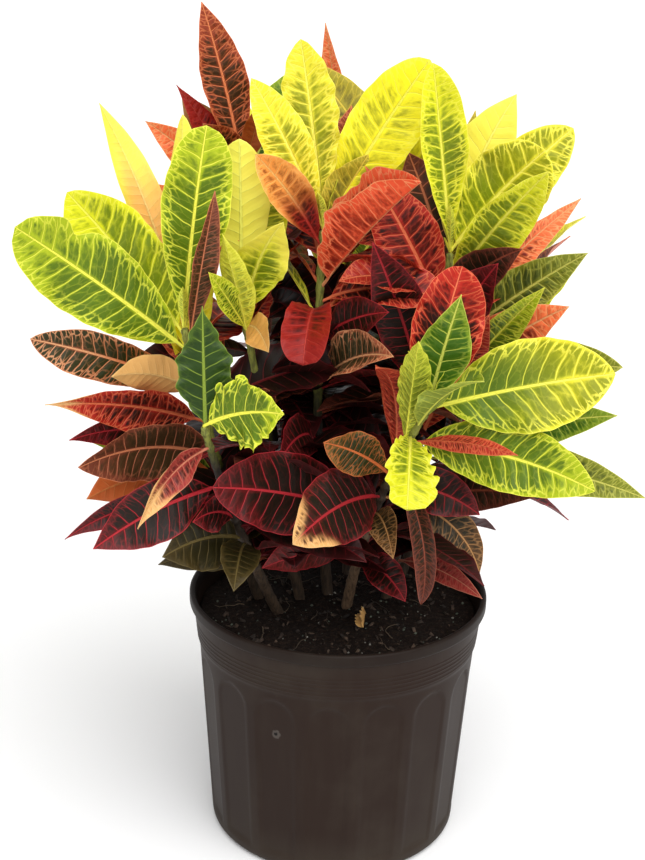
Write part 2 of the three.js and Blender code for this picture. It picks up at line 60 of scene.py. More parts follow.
# The pot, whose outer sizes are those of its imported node
POT_LOW, POT_HIGH = (np.array(corner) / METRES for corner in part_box("pot"))
POT_HEIGHT = POT_HIGH[2]
RIM_RADIUS = (POT_HIGH[0] - POT_LOW[0]) / 2
LIP_HEIGHT = 12
COLLAR_TOP = POT_HEIGHT - LIP_HEIGHT
COLLAR_BOTTOM = 192
COLLAR_TOP_RADIUS = 135.5
BODY_TOP_RADIUS = 130.5
FOOT_RADIUS = 118
FOOT_ROUNDING = 8
WALL = 3
PANELS = 16
PANEL_WIDTH = 39
PANEL_TOP = 182
PANEL_BOTTOM = 14
PANEL_TURN = -3
DRAIN_HOLES = 6
DRAIN_RADIUS = 7
DRAIN_RING_RADIUS = 92
COLUMNS_PER_PANEL = 24
# The width of a panel's bottom as a share of its own, and how far inside its edge its step begins and ends
PANEL_NARROWING = 0.9
PANEL_STEP = (-0.6, 1.6)
# The height of the underside inside the foot, and the radius of the rings next to the poles
UNDERSIDE = 1.6
POLE_RADIUS = 0.5
LIP_ROUNDING = 2.8
RING_PITCH = 4.2
RING_MIDDLE = 196
RINGS_LOW = 194
RINGS_HIGH = 214
WALL_ROWS = 78
COLLAR_ROWS = 60
HEEL_ROWS = 7
LIP_ROWS = 13
# In metres
SCUFF_PLACE = (-0.053, -0.113, 0.146)

# The soil
SOIL_TOP = 218
SOIL_LUMP = 1.6
ROOT_DEPTH = 205
SOIL_RADIUS = BODY_TOP_RADIUS - WALL
SOIL_COLUMNS = 220
SOIL_RINGS = 70

# The stems and leaves
STEM_FOOT_RADIUS = 5.2
STEM_TOP_RADIUS = 2.8
STEM_RINGS = 150
STEM_SIDES = 20
# The one trunk that shows, whose bark is kept out of the painted shade on the other stems
LIT_TRUNK = "front_right"
CAD_LEAF_STEPS = 24
CAD_MIDRIB_THICKNESS = 1.8
STALK_RADIUS = 1.4
STALK_SHARE = 2 / CAD_LEAF_STEPS
TIP_RADIUS = 0.3
# The powers of the outline, and the width from which a leaf is broad
BROAD_LEAF = 60
BROAD_RISE = 0.8
SLENDER_RISE = 1.05
# Lobes and teeth of a lobed leaf, and a notched leaf's bite, as shares of the half width and the length
LOBES = 4
LOBE_SHARE = 0.09
TEETH = 9
NOTCH_DEPTH = 0.34
NOTCH_PLACE = 0.74
NOTCH_LENGTH = 0.055
# Waves along the blade, along the margin and in both at once, and their height as a share of the width
WAVES = 2.5
WAVE_SHARE = 0.045
MARGIN_WAVES = 7
FINE_WAVES = 8
FRILL = 0.012
DEEP_FRILL = 0.055
# The share of the blade over which the stalk flattens out, and the midrib's ridge
FOOT_SHARE = 0.07
RIDGE_WIDTH = 1.7
RIDGE_ABOVE = 0.2
RIDGE_BELOW = 0.9
# The share of the blade from which its margin is a hard edge
SHARP_FROM = 0.03
# The grid that each leaf is made on: shares of its length, and of the half width to each side
STATIONS = np.linspace(0, 1, 49)
COLUMNS = np.array([-1, -0.95, -0.8, -0.58, -0.34, -0.14, 0, 0.14, 0.34, 0.58, 0.8, 0.95, 1])
LEAVES_PER_PIECE = 7
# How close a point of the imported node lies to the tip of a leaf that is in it
MATCH = 0.35
# How far the wash covers each colour of the underside, which light through the blade makes brighter
WASH = {"ground": 0.4, "halo": 0.5, "vein": 0.3}
UNDER_GLOW = 1.25
# How far the pattern of one leaf lies from the next seed's, in millimetres, and how many places there are
PATTERN_STEP = 500
PATTERN_PLACES = 97
# The seed of the part's own draws, and those of the looks, the soil and the meshes here
PART_SEED = 20
SOIL_SEED = 5
LOOK_SEED = 11
BUD_SEED = 31
BUDS_MESH_SEED = 77
INNER_SEED = 332
INNER_MESH_SEED = 5000
DRY_MESH_SEED = 9
LEAF_SEED_STEP = 13
PIECE_SEED_STEP = 100
STEM_SEED_STEP = 1000
GOLDEN_ANGLE = 137.5

# Inner leaves grow from INNER_LOW over INNER_REACH of a stem, or over FRONT_REACH of one whose top lies in
# front of FRONT, and are red above INNER_RED. One whose tip is in front of FRONT_TIP stays only if it grows
# below FRONT_PLACE and its tip is above FRONT_HEIGHT
FRONT = -60
INNER_LOW = 0.24
INNER_REACH = 0.72
FRONT_REACH = 0.34
INNER_RED = 0.78
FRONT_TIP = -50
FRONT_PLACE = 0.6
FRONT_HEIGHT = 270


class Look(NamedTuple):
    """A leaf's colours in hundredths: between the veins, round the veins, on the veins and the wash over its
    underside. Spread is how far the second colour reaches from the veins, from 0 for fine lines to 1 for all
    but a few flecks. Net is how plainly the fine veins show that join the side veins."""

    ground: tuple
    halo: tuple
    vein: tuple
    wash: tuple
    spread: float
    net: float


LOOKS = {
    "lime": Look((10, 17, 0.4), (36, 44, 0.8), (82, 80, 8), (46, 46, 6), 0.1, 0.8),
    "lemon": Look((20, 27, 0.6), (72, 72, 1.4), (92, 88, 10), (54, 52, 6), 0.2, 0.8),
    "citron": Look((30, 32, 0.6), (78, 70, 3), (96, 88, 12), (60, 52, 5), 0.26, 0.9),
    "leaf": Look((5, 13, 0.5), (17, 26, 1), (62, 64, 10), (36, 38, 8), 0.05, 0.3),
    "gold": Look((40, 40, 0.8), (95, 87, 1.6), (97, 93, 9), (80, 66, 5), 0.42, 0.7),
    "pure": Look((60, 55, 4.5), (90, 79, 8), (95, 86, 15), (92, 72, 12), 0.85, 0.3),
    "peach": Look((60, 24, 5), (76, 37, 9), (88, 55, 20), (82, 44, 14), 0.8, 0.2),
    "flame": Look((5.5, 2.4, 0.9), (28, 4.5, 1.8), (78, 23, 9), (46, 10, 4), 0.2, 0.7),
    "ember": Look((3.2, 0.7, 0.4), (42, 2.1, 1.2), (80, 18, 7.5), (36, 3.5, 2), 0.24, 0.9),
    "scarlet": Look((5, 0.4, 0.3), (24, 0.9, 0.6), (38, 3, 2), (34, 4, 3), 0.3, 0.5),
    "salmon": Look((20, 1.5, 1), (95, 18, 6), (98, 42, 18), (82, 11, 4), 0.26, 0.9),
    "coral": Look((2, 0.2, 0.2), (95, 13, 4.5), (98, 42, 18), (56, 4, 1.6), 0.36, 0.9),
    "wine": Look((1.2, 0.55, 0.25), (8.5, 0.6, 0.6), (42, 2.2, 3), (12, 1.8, 1.5), 0.06, 0.3),
    "moss": Look((5.5, 3, 1), (16, 4, 2), (66, 22, 10), (24, 8, 3.5), 0.1, 0.3),
    "olive": Look((5, 7, 0.8), (18, 20, 1.5), (56, 54, 10), (30, 28, 6), 0.18, 0.6),
    "bronze": Look((12, 10, 0.8), (36, 30, 2), (72, 55, 6), (50, 30, 4), 0.28, 0.7),
    "tan": Look((30, 15, 4.5), (52, 28, 9), (60, 38, 14), (52, 28, 9), 0.8, 0.2),
    "amber": Look((20, 3, 1), (42, 9, 2), (52, 18, 5), (44, 10, 2.5), 0.7, 0.2),
    "sunset": Look((30, 7.5, 1.2), (92, 36, 7), (96, 55, 16), (76, 28, 6), 0.5, 0.5),
    "rust": Look((3.6, 3.4, 1), (42, 11, 5), (82, 40, 19), (32, 12, 5), 0.1, 0.9),
    "umber": Look((2.4, 1.8, 0.6), (10, 4.5, 1.4), (50, 25, 9), (10, 5, 2), 0.1, 0.6),
    "murk": Look((2.6, 1.6, 0.7), (8, 2, 1.2), (30, 7, 3.5), (13, 4, 2), 0.1, 0.4),
    "mixed": Look((2, 3, 0.4), (13, 7, 1), (62, 15, 4), (8, 9, 1.5), 0.05, 0.6),
    "dusk": Look((2.4, 1.9, 0.5), (5, 3.4, 0.9), (14, 10, 3), (7, 5, 2), 0.1, 0.2),
    "forest": Look((1.9, 4.8, 0.4), (4.5, 9, 0.6), (22, 30, 3.5), (15, 18, 3), 0.08, 0.1),
    "blush": Look((5, 1, 0.8), (30, 3, 2.5), (60, 20, 12), (36, 10, 6), 0.3, 0.3),
    # The shade look, near black, is painted shade, for leaves in the dark inside of the plant
    "shade": Look((1.2, 0.5, 0.3), (3.6, 0.4, 0.4), (13, 1, 1.2), (5, 0.9, 0.8), 0.1, 0.1),
}
STRAW = Look((9, 3, 1.5), (72, 38, 13), (80, 46, 19), (60, 32, 13), 0.42, 0.8)

# The colours that a mark turns the end of a leaf to, and between which shares of the blade it does so
MARKS = {
    "straw": (STRAW, 0.8, 0.92),
    "bleached": (STRAW, 0.58, 0.76),
    "bright": (LOOKS["pure"], 0.45, 0.85),
    "gilded": (LOOKS["citron"], 0.25, 0.85),
    "glow": (LOOKS["sunset"], 0.25, 0.75),
    "rusty": (LOOKS["rust"], 0.3, 0.8),
}


class Row(NamedTuple):
    """A leaf of its own: its place along the stem, tip, width, arch, roll about its midrib, fold along it,
    where it is widest as a share of the blade, its look, and a mark: one of MARKS, or wavy for a frilled
    margin, or notched for one with a bite out of it."""

    place: float
    x: float
    y: float
    z: float
    width: float
    droop: float
    roll: float
    fold: float
    widest: float
    look: str
    mark: str = ""


class Fill(NamedTuple):
    """Leaves made by the rule: how many, their first azimuth and its span, their lowest and highest place on
    the stem, and their usual length."""

    count: int
    start: float
    span: float
    low: float
    high: float
    length: float


class Stem(NamedTuple):
    """A line from its root, pulled towards its elbow, to its top, green above the split and bark below."""

    name: str
    root: tuple
    elbow: tuple
    top: tuple
    split: float
    fills: tuple
    leaves: tuple = ()
    lobed: tuple = ()


STEMS = (
    Stem(
        "left",
        root=(-72, 22, ROOT_DEPTH),
        elbow=(-108, -10, 330),
        top=(-140, -45, 505),
        split=0.62,
        fills=(Fill(8, 60, 130, 0.34, 0.98, 150),),
        leaves=(
            Row(0.93, -270, -110, 605, 72, 6, -90, 8, 0.6, "lime", "notched"),
            Row(1.0, -120, -50, 680, 60, 6, 120, 8, 0.62, "lime"),
            Row(0.97, -215, -40, 635, 78, 10, -88, 10, 0.52, "lemon"),
            Row(0.99, -230, 0, 685, 34, 22, 125, 8, 0.5, "peach", "bright"),
            Row(0.95, -110, -95, 635, 28, 4, -170, 25, 0.5, "moss"),
            Row(1.0, -145, 10, 680, 32, 8, 150, 14, 0.6, "peach", "bright"),
            Row(0.82, -265, -90, 505, 46, 12, -95, 20, 0.6, "mixed", "rusty"),
            Row(0.8, -195, -110, 480, 36, 40, 80, 15, 0.5, "tan"),
            Row(0.72, -245, -130, 470, 46, 20, -105, 22, 0.4, "ember", "straw"),
            Row(0.6, -220, -140, 410, 60, 40, -100, 22, 0.5, "moss"),
            Row(0.58, -235, -90, 415, 36, 60, -95, 12, 0.5, "wine"),
            Row(0.52, -220, -60, 410, 34, 40, -95, 12, 0.5, "leaf"),
            Row(0.55, -220, -100, 365, 50, 40, 105, 12, 0.5, "amber"),
        ),
    ),
    Stem(
        "back_left",
        root=(-40, 55, ROOT_DEPTH),
        elbow=(-75, 90, 400),
        top=(-98, 108, 610),
        split=0.6,
        fills=(Fill(12, 40, 190, 0.34, 0.98, 136),),
        leaves=(
            Row(1.0, -135, 90, 765, 44, 8, -95, 14, 0.5, "flame"),
            Row(0.95, -140, 100, 700, 28, 8, -70, 14, 0.45, "scarlet"),
            Row(1.0, -80, 80, 675, 22, 4, 145, 14, 0.6, "amber"),
            Row(0.9, -185, 80, 660, 36, 20, -90, 14, 0.5, "salmon"),
            Row(0.95, -155, 110, 680, 38, 12, -80, 14, 0.5, "tan"),
            Row(1.0, -130, 70, 675, 36, 10, -125, 14, 0.5, "flame"),
            Row(0.8, -205, 60, 605, 42, 20, -85, 14, 0.5, "salmon"),
        ),
    ),
    Stem(
        "middle",
        root=(-8, 30, ROOT_DEPTH),
        elbow=(-30, 15, 400),
        top=(-22, -5, 585),
        split=0.65,
        fills=(Fill(5, 50, 110, 0.34, 0.95, 150), Fill(6, 200, 140, 0.28, 0.62, 105)),
        leaves=(
            Row(1.0, -45, 5, 745, 48, 4, -65, 12, 0.6, "citron", "wavy"),
            Row(1.0, 65, 10, 730, 62, 8, 75, 10, 0.58, "gold"),
            Row(1.0, -85, -20, 715, 42, 10, -85, 10, 0.55, "citron"),
            Row(0.95, -80, -40, 655, 44, 18, -100, 34, 0.6, "scarlet", "glow"),
            Row(0.85, 55, -110, 650, 76, 12, 38, 68, 0.55, "coral"),
            Row(0.98, 15, 0, 650, 46, 8, 100, 12, 0.5, "bronze"),
            Row(0.9, 0, 40, 685, 40, 10, 30, 12, 0.5, "flame"),
            Row(0.72, 35, -70, 530, 38, 25, 80, 12, 0.5, "wine"),
            Row(0.76, -36, -95, 489, 46, 120, 0, 26, 0.74, "scarlet"),
            Row(0.6, 39, -105, 502, 52, 35, 65, 34, 0.5, "rust"),
            Row(0.45, -55, -90, 400, 40, 60, -60, 14, 0.5, "wine"),
        ),
    ),
    Stem(
        "right",
        root=(45, 25, ROOT_DEPTH),
        elbow=(75, 20, 380),
        top=(90, 5, 565),
        split=0.68,
        fills=(Fill(5, 20, 110, 0.34, 0.98, 150), Fill(4, 230, 90, 0.25, 0.5, 105)),
        leaves=(
            Row(1.0, 164, -20, 661, 72, 14, 100, 8, 0.6, "lemon", "gilded"),
            Row(1.0, 70, -25, 735, 48, 2, -130, 30, 0.62, "lemon"),
            Row(0.9, 162, -62, 651, 54, 10, 128, 30, 0.55, "lemon"),
            Row(0.97, 130, 20, 705, 58, 30, 65, 12, 0.5, "pure"),
            Row(1.0, 40, 40, 705, 62, 10, -55, 12, 0.6, "gold"),
            Row(0.95, -30, 60, 730, 60, 14, -45, 12, 0.5, "bronze"),
            Row(0.9, 110, 60, 680, 34, 10, 40, 12, 0.5, "bronze"),
            Row(0.95, 195, 40, 670, 56, 22, 65, 12, 0.6, "lime", "gilded"),
            Row(0.85, 35, -10, 655, 58, 10, -100, 12, 0.45, "ember"),
            Row(0.95, 50, 15, 650, 54, 8, -75, 12, 0.5, "moss"),
            Row(0.78, 205, 30, 610, 34, 14, 100, 16, 0.5, "salmon"),
            Row(0.72, 185, 10, 595, 46, 14, 75, 12, 0.5, "olive"),
            Row(0.85, 145, -60, 585, 42, 30, 110, 26, 0.5, "murk"),
            Row(0.7, 140, -40, 570, 48, 14, 110, 12, 0.5, "wine"),
            Row(0.66, 205, 30, 545, 42, 20, 70, 12, 0.5, "lime", "wavy"),
            Row(0.6, 20, -50, 585, 52, 12, -125, 16, 0.5, "wine"),
            Row(0.55, 165, -70, 555, 38, 8, 125, 18, 0.5, "lime"),
            Row(0.6, 195, -30, 530, 52, 20, 75, 12, 0.5, "salmon"),
            Row(0.5, 120, -70, 530, 46, 10, 150, 12, 0.5, "ember"),
            Row(0.6, 240, -50, 480, 52, 34, 75, 10, 0.55, "olive"),
            Row(0.45, 245, -20, 425, 44, 20, 75, 10, 0.5, "leaf"),
            Row(0.45, 275, -30, 350, 44, 26, 70, 10, 0.5, "olive"),
            Row(0.3, 170, -60, 360, 40, 40, 75, 14, 0.5, "murk"),
            Row(0.15, 130, -60, 260, 22, 40, 60, 14, 0.5, "blush"),
        ),
    ),
    Stem(
        "front_right",
        root=(7, 6, ROOT_DEPTH),
        elbow=(18, -40, 330),
        top=(70, -100, 455),
        split=0.78,
        fills=(Fill(4, 290, 70, 0.34, 0.98, 150),),
        leaves=(
            Row(1.0, 225, -100, 490, 80, 10, 70, 8, 0.52, "lime", "gilded"),
            Row(0.85, 205, -150, 400, 60, 30, 70, 8, 0.5, "lime"),
            Row(1.0, 92, -110, 558, 46, 6, 120, 14, 0.45, "leaf"),
            Row(0.97, 85, -80, 575, 72, 10, 50, 34, 0.58, "ember"),
            Row(0.82, 57, -142, 527, 34, 4, -20, 34, 0.5, "lime", "wavy"),
            Row(0.87, 51, -190, 400, 46, 75, -20, 20, 0.78, "lemon", "wavy"),
            Row(0.85, 140, -165, 440, 17, 20, -130, 16, 0.5, "ember"),
            Row(0.72, 20, -130, 490, 32, 100, -5, 14, 0.5, "ember"),
            Row(0.5, -115, -130, 395, 72, 18, -75, 10, 0.55, "wine"),
            Row(0.6, -40, -195, 370, 64, 35, -55, 12, 0.5, "wine", "straw"),
            Row(0.7, -17, -152, 442, 40, 18, -108, 12, 0.55, "mixed"),
            Row(0.72, 70, -125, 285, 26, 110, 25, 40, 0.55, "murk"),
            Row(0.65, 120, -90, 355, 44, 50, 65, 22, 0.5, "wine"),
            Row(0.6, 125, -70, 290, 36, 80, 70, 14, 0.5, "umber"),
            Row(0.52, 45, -120, 325, 30, 70, 35, 26, 0.5, "umber"),
            Row(0.35, -70, -60, 285, 36, 30, 95, 12, 0.5, "wine"),
            Row(0.3, 60, -70, 260, 34, 60, 45, 26, 0.5, "wine"),
        ),
    ),
    Stem(
        "middle_left",
        root=(-34, 22, ROOT_DEPTH),
        elbow=(-60, -10, 350),
        top=(-92, -15, 520),
        split=0.7,
        fills=(Fill(4, 180, 100, 0.34, 0.9, 140), Fill(5, 220, 130, 0.3, 0.6, 95)),
        leaves=(
            Row(1.0, -94, -30, 666, 52, 6, 10, 14, 0.6, "pure"),
            Row(0.97, -75, 20, 650, 54, 10, 40, 12, 0.5, "lemon"),
            Row(0.95, -55, -70, 605, 50, 45, 155, 22, 0.5, "lemon", "bright"),
            Row(0.9, -105, -75, 595, 30, 6, 0, 14, 0.45, "lemon"),
            Row(0.92, -115, -70, 565, 24, 6, -105, 14, 0.5, "lime"),
            Row(0.62, -90, -70, 455, 36, 50, -135, 14, 0.5, "moss"),
            Row(0.93, -66, -70, 492, 30, 70, 60, 14, 0.5, "peach"),
        ),
    ),
    Stem(
        "back_right",
        root=(55, 60, ROOT_DEPTH),
        elbow=(110, 90, 350),
        top=(150, 110, 520),
        split=0.6,
        fills=(Fill(16, 350, 165, 0.32, 1.0, 132),),
    ),
    Stem(
        "back",
        root=(10, 75, ROOT_DEPTH),
        elbow=(10, 130, 380),
        top=(0, 150, 560),
        split=0.6,
        fills=(Fill(16, 0, 210, 0.32, 1.0, 155), Fill(4, 210, 120, 0.3, 0.7, 110)),
        leaves=(Row(1.0, -25, 130, 745, 30, 8, -165, 14, 0.5, "salmon"),),
    ),
    Stem(
        "front_left",
        root=(-52, -4, ROOT_DEPTH),
        elbow=(-95, -75, 330),
        top=(-118, -115, 440),
        split=0.94,
        fills=(Fill(3, 200, 120, 0.34, 0.7, 120),),
        lobed=(
            Row(0.97, -120, -100, 540, 46, -6, 0, 8, 0.42, "forest"),
            Row(1.0, -50, -150, 465, 58, 35, 90, 8, 0.5, "lime"),
        ),
        leaves=(
            Row(0.9, -165, -195, 380, 30, 55, -75, 30, 0.45, "blush", "bleached"),
            Row(0.72, -205, -170, 350, 56, 25, -70, 20, 0.5, "wine"),
            Row(0.6, -235, -130, 340, 34, 60, -85, 26, 0.45, "wine"),
            Row(0.45, -150, -150, 335, 56, 35, -75, 12, 0.5, "dusk"),
            Row(0.55, -130, -130, 360, 36, 50, -95, 12, 0.5, "wine"),
            Row(0.42, -90, -150, 305, 36, 60, -15, 12, 0.5, "dusk"),
            Row(0.3, -160, -90, 300, 30, 50, -85, 12, 0.5, "dusk"),
        ),
    ),
)

# Degrees of rise and of azimuth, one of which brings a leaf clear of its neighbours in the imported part
BENDS = (
    *((0, 0), (3, 0), (-3, 0), (0, 4), (0, -4), (6, 0), (-6, 0), (0, 8), (0, -8)),
    *((6, 6), (6, -6), (-6, 6), (-6, -6), (10, 0), (-10, 0), (0, 13), (0, -13)),
    *((12, 8), (12, -8), (-12, 8), (-12, -8), (0, 20), (0, -20)),
)

# The looks that leaves of the rule draw from, and inner leaves
CROWN_LOOKS = ("lime", "lemon", "leaf", "citron", "gold", "leaf", "flame", "lime")
LOWER_LOOKS = ("wine", "shade", "murk", "wine", "shade", "shade", "wine", "dusk")
INNER_LOOKS = ("shade", "murk", "shade", "shade", "shade", "shade")
# The middle of the plant, and the ends of the dry leaf
HEART = (10, 70)
DRY_FOOT = np.array([26, -12, 217.0])
DRY_TIP = np.array([23, -56, 226.0])
DRY_DROOP = 70


# Meshes


def put_mesh(name, points, polygons, corner_uv=None, values=None, sharp=None):
    """A mesh object from points in millimetres and arrays of faces with equal corner counts. Values are
    vectors by point, kept as attributes, and an edge between two sharp points is a hard one."""
    mesh = bpy.data.meshes.new(name)
    corners = np.concatenate([faces.ravel() for faces in polygons])
    counts = np.concatenate([np.full(len(faces), faces.shape[1]) for faces in polygons])
    mesh.vertices.add(len(points))
    mesh.vertices.foreach_set("co", (points * METRES).ravel())
    mesh.loops.add(len(corners))
    mesh.loops.foreach_set("vertex_index", corners)
    mesh.polygons.add(len(counts))
    mesh.polygons.foreach_set("loop_start", np.cumsum(counts) - counts)
    mesh.update(calc_edges=True)
    mesh.shade_smooth()
    if corner_uv is not None:
        mesh.uv_layers.new(name="OFBake").uv.foreach_set("vector", corner_uv.ravel())
    for key, vectors in (values or {}).items():
        mesh.attributes.new(key, "FLOAT_VECTOR", "POINT").data.foreach_set("vector", vectors.ravel())
    if sharp is not None:
        ends = np.empty(2 * len(mesh.edges), int)
        mesh.edges.foreach_get("vertices", ends)
        hard = sharp[ends].reshape(-1, 2).all(1)
        mesh.attributes.new("sharp_edge", "BOOLEAN", "EDGE").data.foreach_set("value", hard)
    piece = bpy.data.objects.new(name, mesh)
    bpy.context.scene.collection.objects.link(piece)
    return piece


def finish_piece(piece, material, slot, *nodes):
    """Gives a piece its material, puts it under the root body and hides the imported nodes that it
    stands for. The slot is not used.
    """
    piece.data.materials.append(material)
    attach(piece, "root")
    if nodes:
        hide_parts(*nodes)


def grid_faces(rows, columns):
    """The corners of each cell of a grid of points, row by row. Its last column is joined to its first."""
    row, column = np.meshgrid(np.arange(rows - 1), np.arange(columns), indexing="ij")
    low, high = row * columns, (row + 1) * columns
    beside = (column + 1) % columns
    return np.stack([low + column, low + beside, high + beside, high + column], -1).reshape(-1, 4)


def closed_rings(rings, poles):
    """A closed surface from rings of points and a pole at each end: its points, the quads between rings and
    the triangles at the poles."""
    rows, columns = rings.shape[:2]
    side = np.arange(columns)
    beside = (side + 1) % columns
    first, last = rows * columns, (rows - 1) * columns
    foot = np.stack([np.full(columns, first), beside, side], -1)
    tip = np.stack([np.full(columns, first + 1), last + side, last + beside], -1)
    points = np.concatenate([rings.reshape(-1, 3), poles])
    return points, grid_faces(rows, columns), np.concatenate([foot, tip])


def joined(surfaces):
    """The points, quads and caps of several surfaces as those of one."""
    points, quads, caps = zip(*surfaces)
    starts = np.cumsum([0, *map(len, points)])
    faces = [np.concatenate([part + start for part, start in zip(kind, starts)]) for kind in (quads, caps)]
    return np.concatenate(points), *faces


def unit(vectors):
    return vectors / np.linalg.norm(vectors, axis=-1, keepdims=True)


def smooth(low, high, value):
    """0 below low, 1 above high, and an S-shaped step between."""
    share = np.clip((value - low) / (high - low), 0, 1)
    return share * share * (3 - 2 * share)


def tube(path, radii, sides):
    """A closed surface of rings round a path, each in the plane across it, with the path's ends as poles."""
    along = unit(np.gradient(path, axis=0))
    across = unit(np.cross([0, 1, 0.001], along))
    up = np.cross(along, across)
    angle = np.linspace(0, 2 * np.pi, sides, endpoint=False)[None, :, None]
    radii = np.broadcast_to(radii, (len(path), sides))[..., None]
    rings = path[:, None] + radii * (np.cos(angle) * across[:, None] + np.sin(angle) * up[:, None])
    return closed_rings(rings, path[[0, -1]])


def curve_points(stem, share):
    """Points of a stem's quadratic curve at shares of its parameter."""
    root, elbow, top = (np.array(point, float) for point in (stem.root, stem.elbow, stem.top))
    share = np.asarray(share, float)[..., None]
    return (1 - share) ** 2 * root + 2 * share * (1 - share) * elbow + share**2 * top


# Shader maths


class Wire:
    """A number or vector in a material's node tree. The signs + - * / on it add Math nodes."""

    def __init__(self, surface, socket):
        self.surface = surface
        self.socket = socket

    def math(self, operation, *others):
        return self.surface.node("ShaderNodeMath", {"operation": operation}, self, *others).out(0)

    def __add__(self, other):
        return self.math("ADD", other)

    def __sub__(self, other):
        return self.math("SUBTRACT", other)

    def __rsub__(self, other):
        return self.surface.node("ShaderNodeMath", {"operation": "SUBTRACT"}, other, self).out(0)

    def __mul__(self, other):
        return self.math("MULTIPLY", other)

    def __truediv__(self, other):
        return self.math("DIVIDE", other)

    __radd__ = __add__
    __rmul__ = __mul__

    def above(self, low, high):
        """0 where this is below low, 1 above high, smooth between."""
        settings = {"interpolation_type": "SMOOTHSTEP"}
        return self.surface.node("ShaderNodeMapRange", settings, self, low, high, 0.0, 1.0).out(0)

    def below(self, low, high):
        """1 where this is below low, 0 above high, smooth between."""
        return 1 - self.above(low, high)

    def most(self, other):
        return self.math("MAXIMUM", other)


class Made:
    """A node just added, whose outputs are read as wires."""

    def __init__(self, surface, node):
        self.surface = surface
        self.made = node

    def out(self, key):
        return Wire(self.surface, self.made.outputs[key])


class Surface:
    """A material with one glossy shader, and the one method that adds any node to it."""

    def __init__(self, name):
        self.material = bpy.data.materials.new(name)
        self.material.use_nodes = True
        self.tree = self.material.node_tree
        self.shader = self.tree.nodes["Principled BSDF"]

    def plug(self, value, socket):
        if isinstance(value, Wire):
            self.tree.links.new(value.socket, socket)
        elif value is not None:
            socket.default_value = value

    def node(self, kind, settings=None, *values, **named):
        made = self.tree.nodes.new(kind)
        for key, value in (settings or {}).items():
            setattr(made, key, value)
        for value, socket in zip(values, made.inputs):
            self.plug(value, socket)
        for key, value in named.items():
            self.plug(value, made.inputs[key])
        return Made(self, made)

    def set(self, **named):
        """Sets or links sockets of the shader, named with _ for each space."""
        for key, value in named.items():
            self.plug(value, self.shader.inputs[key.replace("_", " ")])

    def attribute(self, name):
        return self.node("ShaderNodeAttribute", {"attribute_name": name}).out("Vector")

    def split(self, vector):
        made = self.node("ShaderNodeSeparateXYZ", None, vector)
        return made.out(0), made.out(1), made.out(2)

    def join(self, x, y, z):
        return self.node("ShaderNodeCombineXYZ", None, x, y, z).out(0)

    def place(self):
        """The point on the object, in metres."""
        return self.node("ShaderNodeTexCoord").out("Object")

    def noise(self, vector, scale, detail=2.0, rough=0.5):
        named = {"Vector": vector, "Scale": scale, "Detail": detail, "Roughness": rough}
        return self.node("ShaderNodeTexNoise", None, **named).out("Fac")

    def scaled(self, vector, factor):
        return self.node("ShaderNodeVectorMath", {"operation": "SCALE"}, vector, Scale=factor).out("Vector")

    def stretched(self, vector, *scale):
        return self.node("ShaderNodeMapping", None, Vector=vector, Scale=scale).out("Vector")

    def mix(self, factor, first, second):
        """The first colour where factor is 0 and the second where it is 1. Between the factor and the colours
        the node has five sockets for its other kinds of data."""
        colours = [(*c, 1) if isinstance(c, tuple) else c for c in (first, second)]
        return self.node("ShaderNodeMix", {"data_type": "RGBA"}, factor, *[None] * 5, *colours).out(2)

    def bump(self, height, distance):
        """A normal from a height, of which 1 stands for the distance in metres."""
        made = self.node("ShaderNodeBump", None, Height=height, Distance=distance, Strength=1.0)
        self.set(Normal=made.out("Normal"))


# Leaves


class Leaf(NamedTuple):
    """A leaf as it grows: its place on the stem, base, azimuth, rise, length, form, look, mark and node."""

    place: float
    base: np.ndarray
    azimuth: float
    rise: float
    length: float
    width: float
    droop: float
    roll: float
    fold: float
    widest: float
    lobed: bool = False
    look: str = ""
    mark: str = ""
    node: str = ""


def heading(azimuth, rise):
    """The unit vector at an azimuth about +Z from +X and a rise above the level."""
    a, r = np.radians(azimuth), np.radians(rise)
    return np.stack(np.broadcast_arrays(np.cos(r) * np.cos(a), np.cos(r) * np.sin(a), np.sin(r)), -1)


def aimed_at(base, tip, droop):
    """The azimuth, rise and length of a leaf that arches over by droop between base and tip: the chord of an
    arch is the mean of the cosines along it."""
    reach = tip - base
    distance = np.linalg.norm(reach)
    steps = (np.arange(CAD_LEAF_STEPS) + 0.5) / CAD_LEAF_STEPS
    chord = np.cos(np.radians(droop * (steps - 0.5))).mean()
    azimuth = np.degrees(np.arctan2(reach[1], reach[0]))
    return azimuth, np.degrees(np.arcsin(reach[2] / distance)) + droop / 2, distance / chord


def midrib_points(leaf, steps):
    """Points from base to tip, each a step further along a heading that falls evenly by the droop."""
    share = (np.arange(steps) + 0.5) / steps
    along = heading(leaf.azimuth, leaf.rise - leaf.droop * share)
    return leaf.base + np.concatenate([np.zeros((1, 3)), np.cumsum(along * leaf.length / steps, 0)])


def leaf_axes(leaf, share):
    """Along, across and up at shares of the length: across is level, then rolled about along."""
    along = heading(leaf.azimuth, leaf.rise - leaf.droop * share)
    azimuth, roll = np.radians(leaf.azimuth), np.radians(leaf.roll)
    level = np.broadcast_to([-np.sin(azimuth), np.cos(azimuth), 0], along.shape)
    across = level * np.cos(roll) + np.cross(along, level) * np.sin(roll)
    return along, across, np.cross(along, across)


def outline(share, leaf):
    """Half the blade's width at a share of its length, 1 at the widest: a rising power times a falling one. A
    slender leaf tapers more slowly to both ends than a broad one."""
    widest = leaf.widest
    rise = BROAD_RISE if leaf.width >= BROAD_LEAF else SLENDER_RISE
    fall = rise * (1 - widest) / widest
    peak = widest**rise * (1 - widest) ** fall
    return share**rise * (1 - share) ** fall / peak


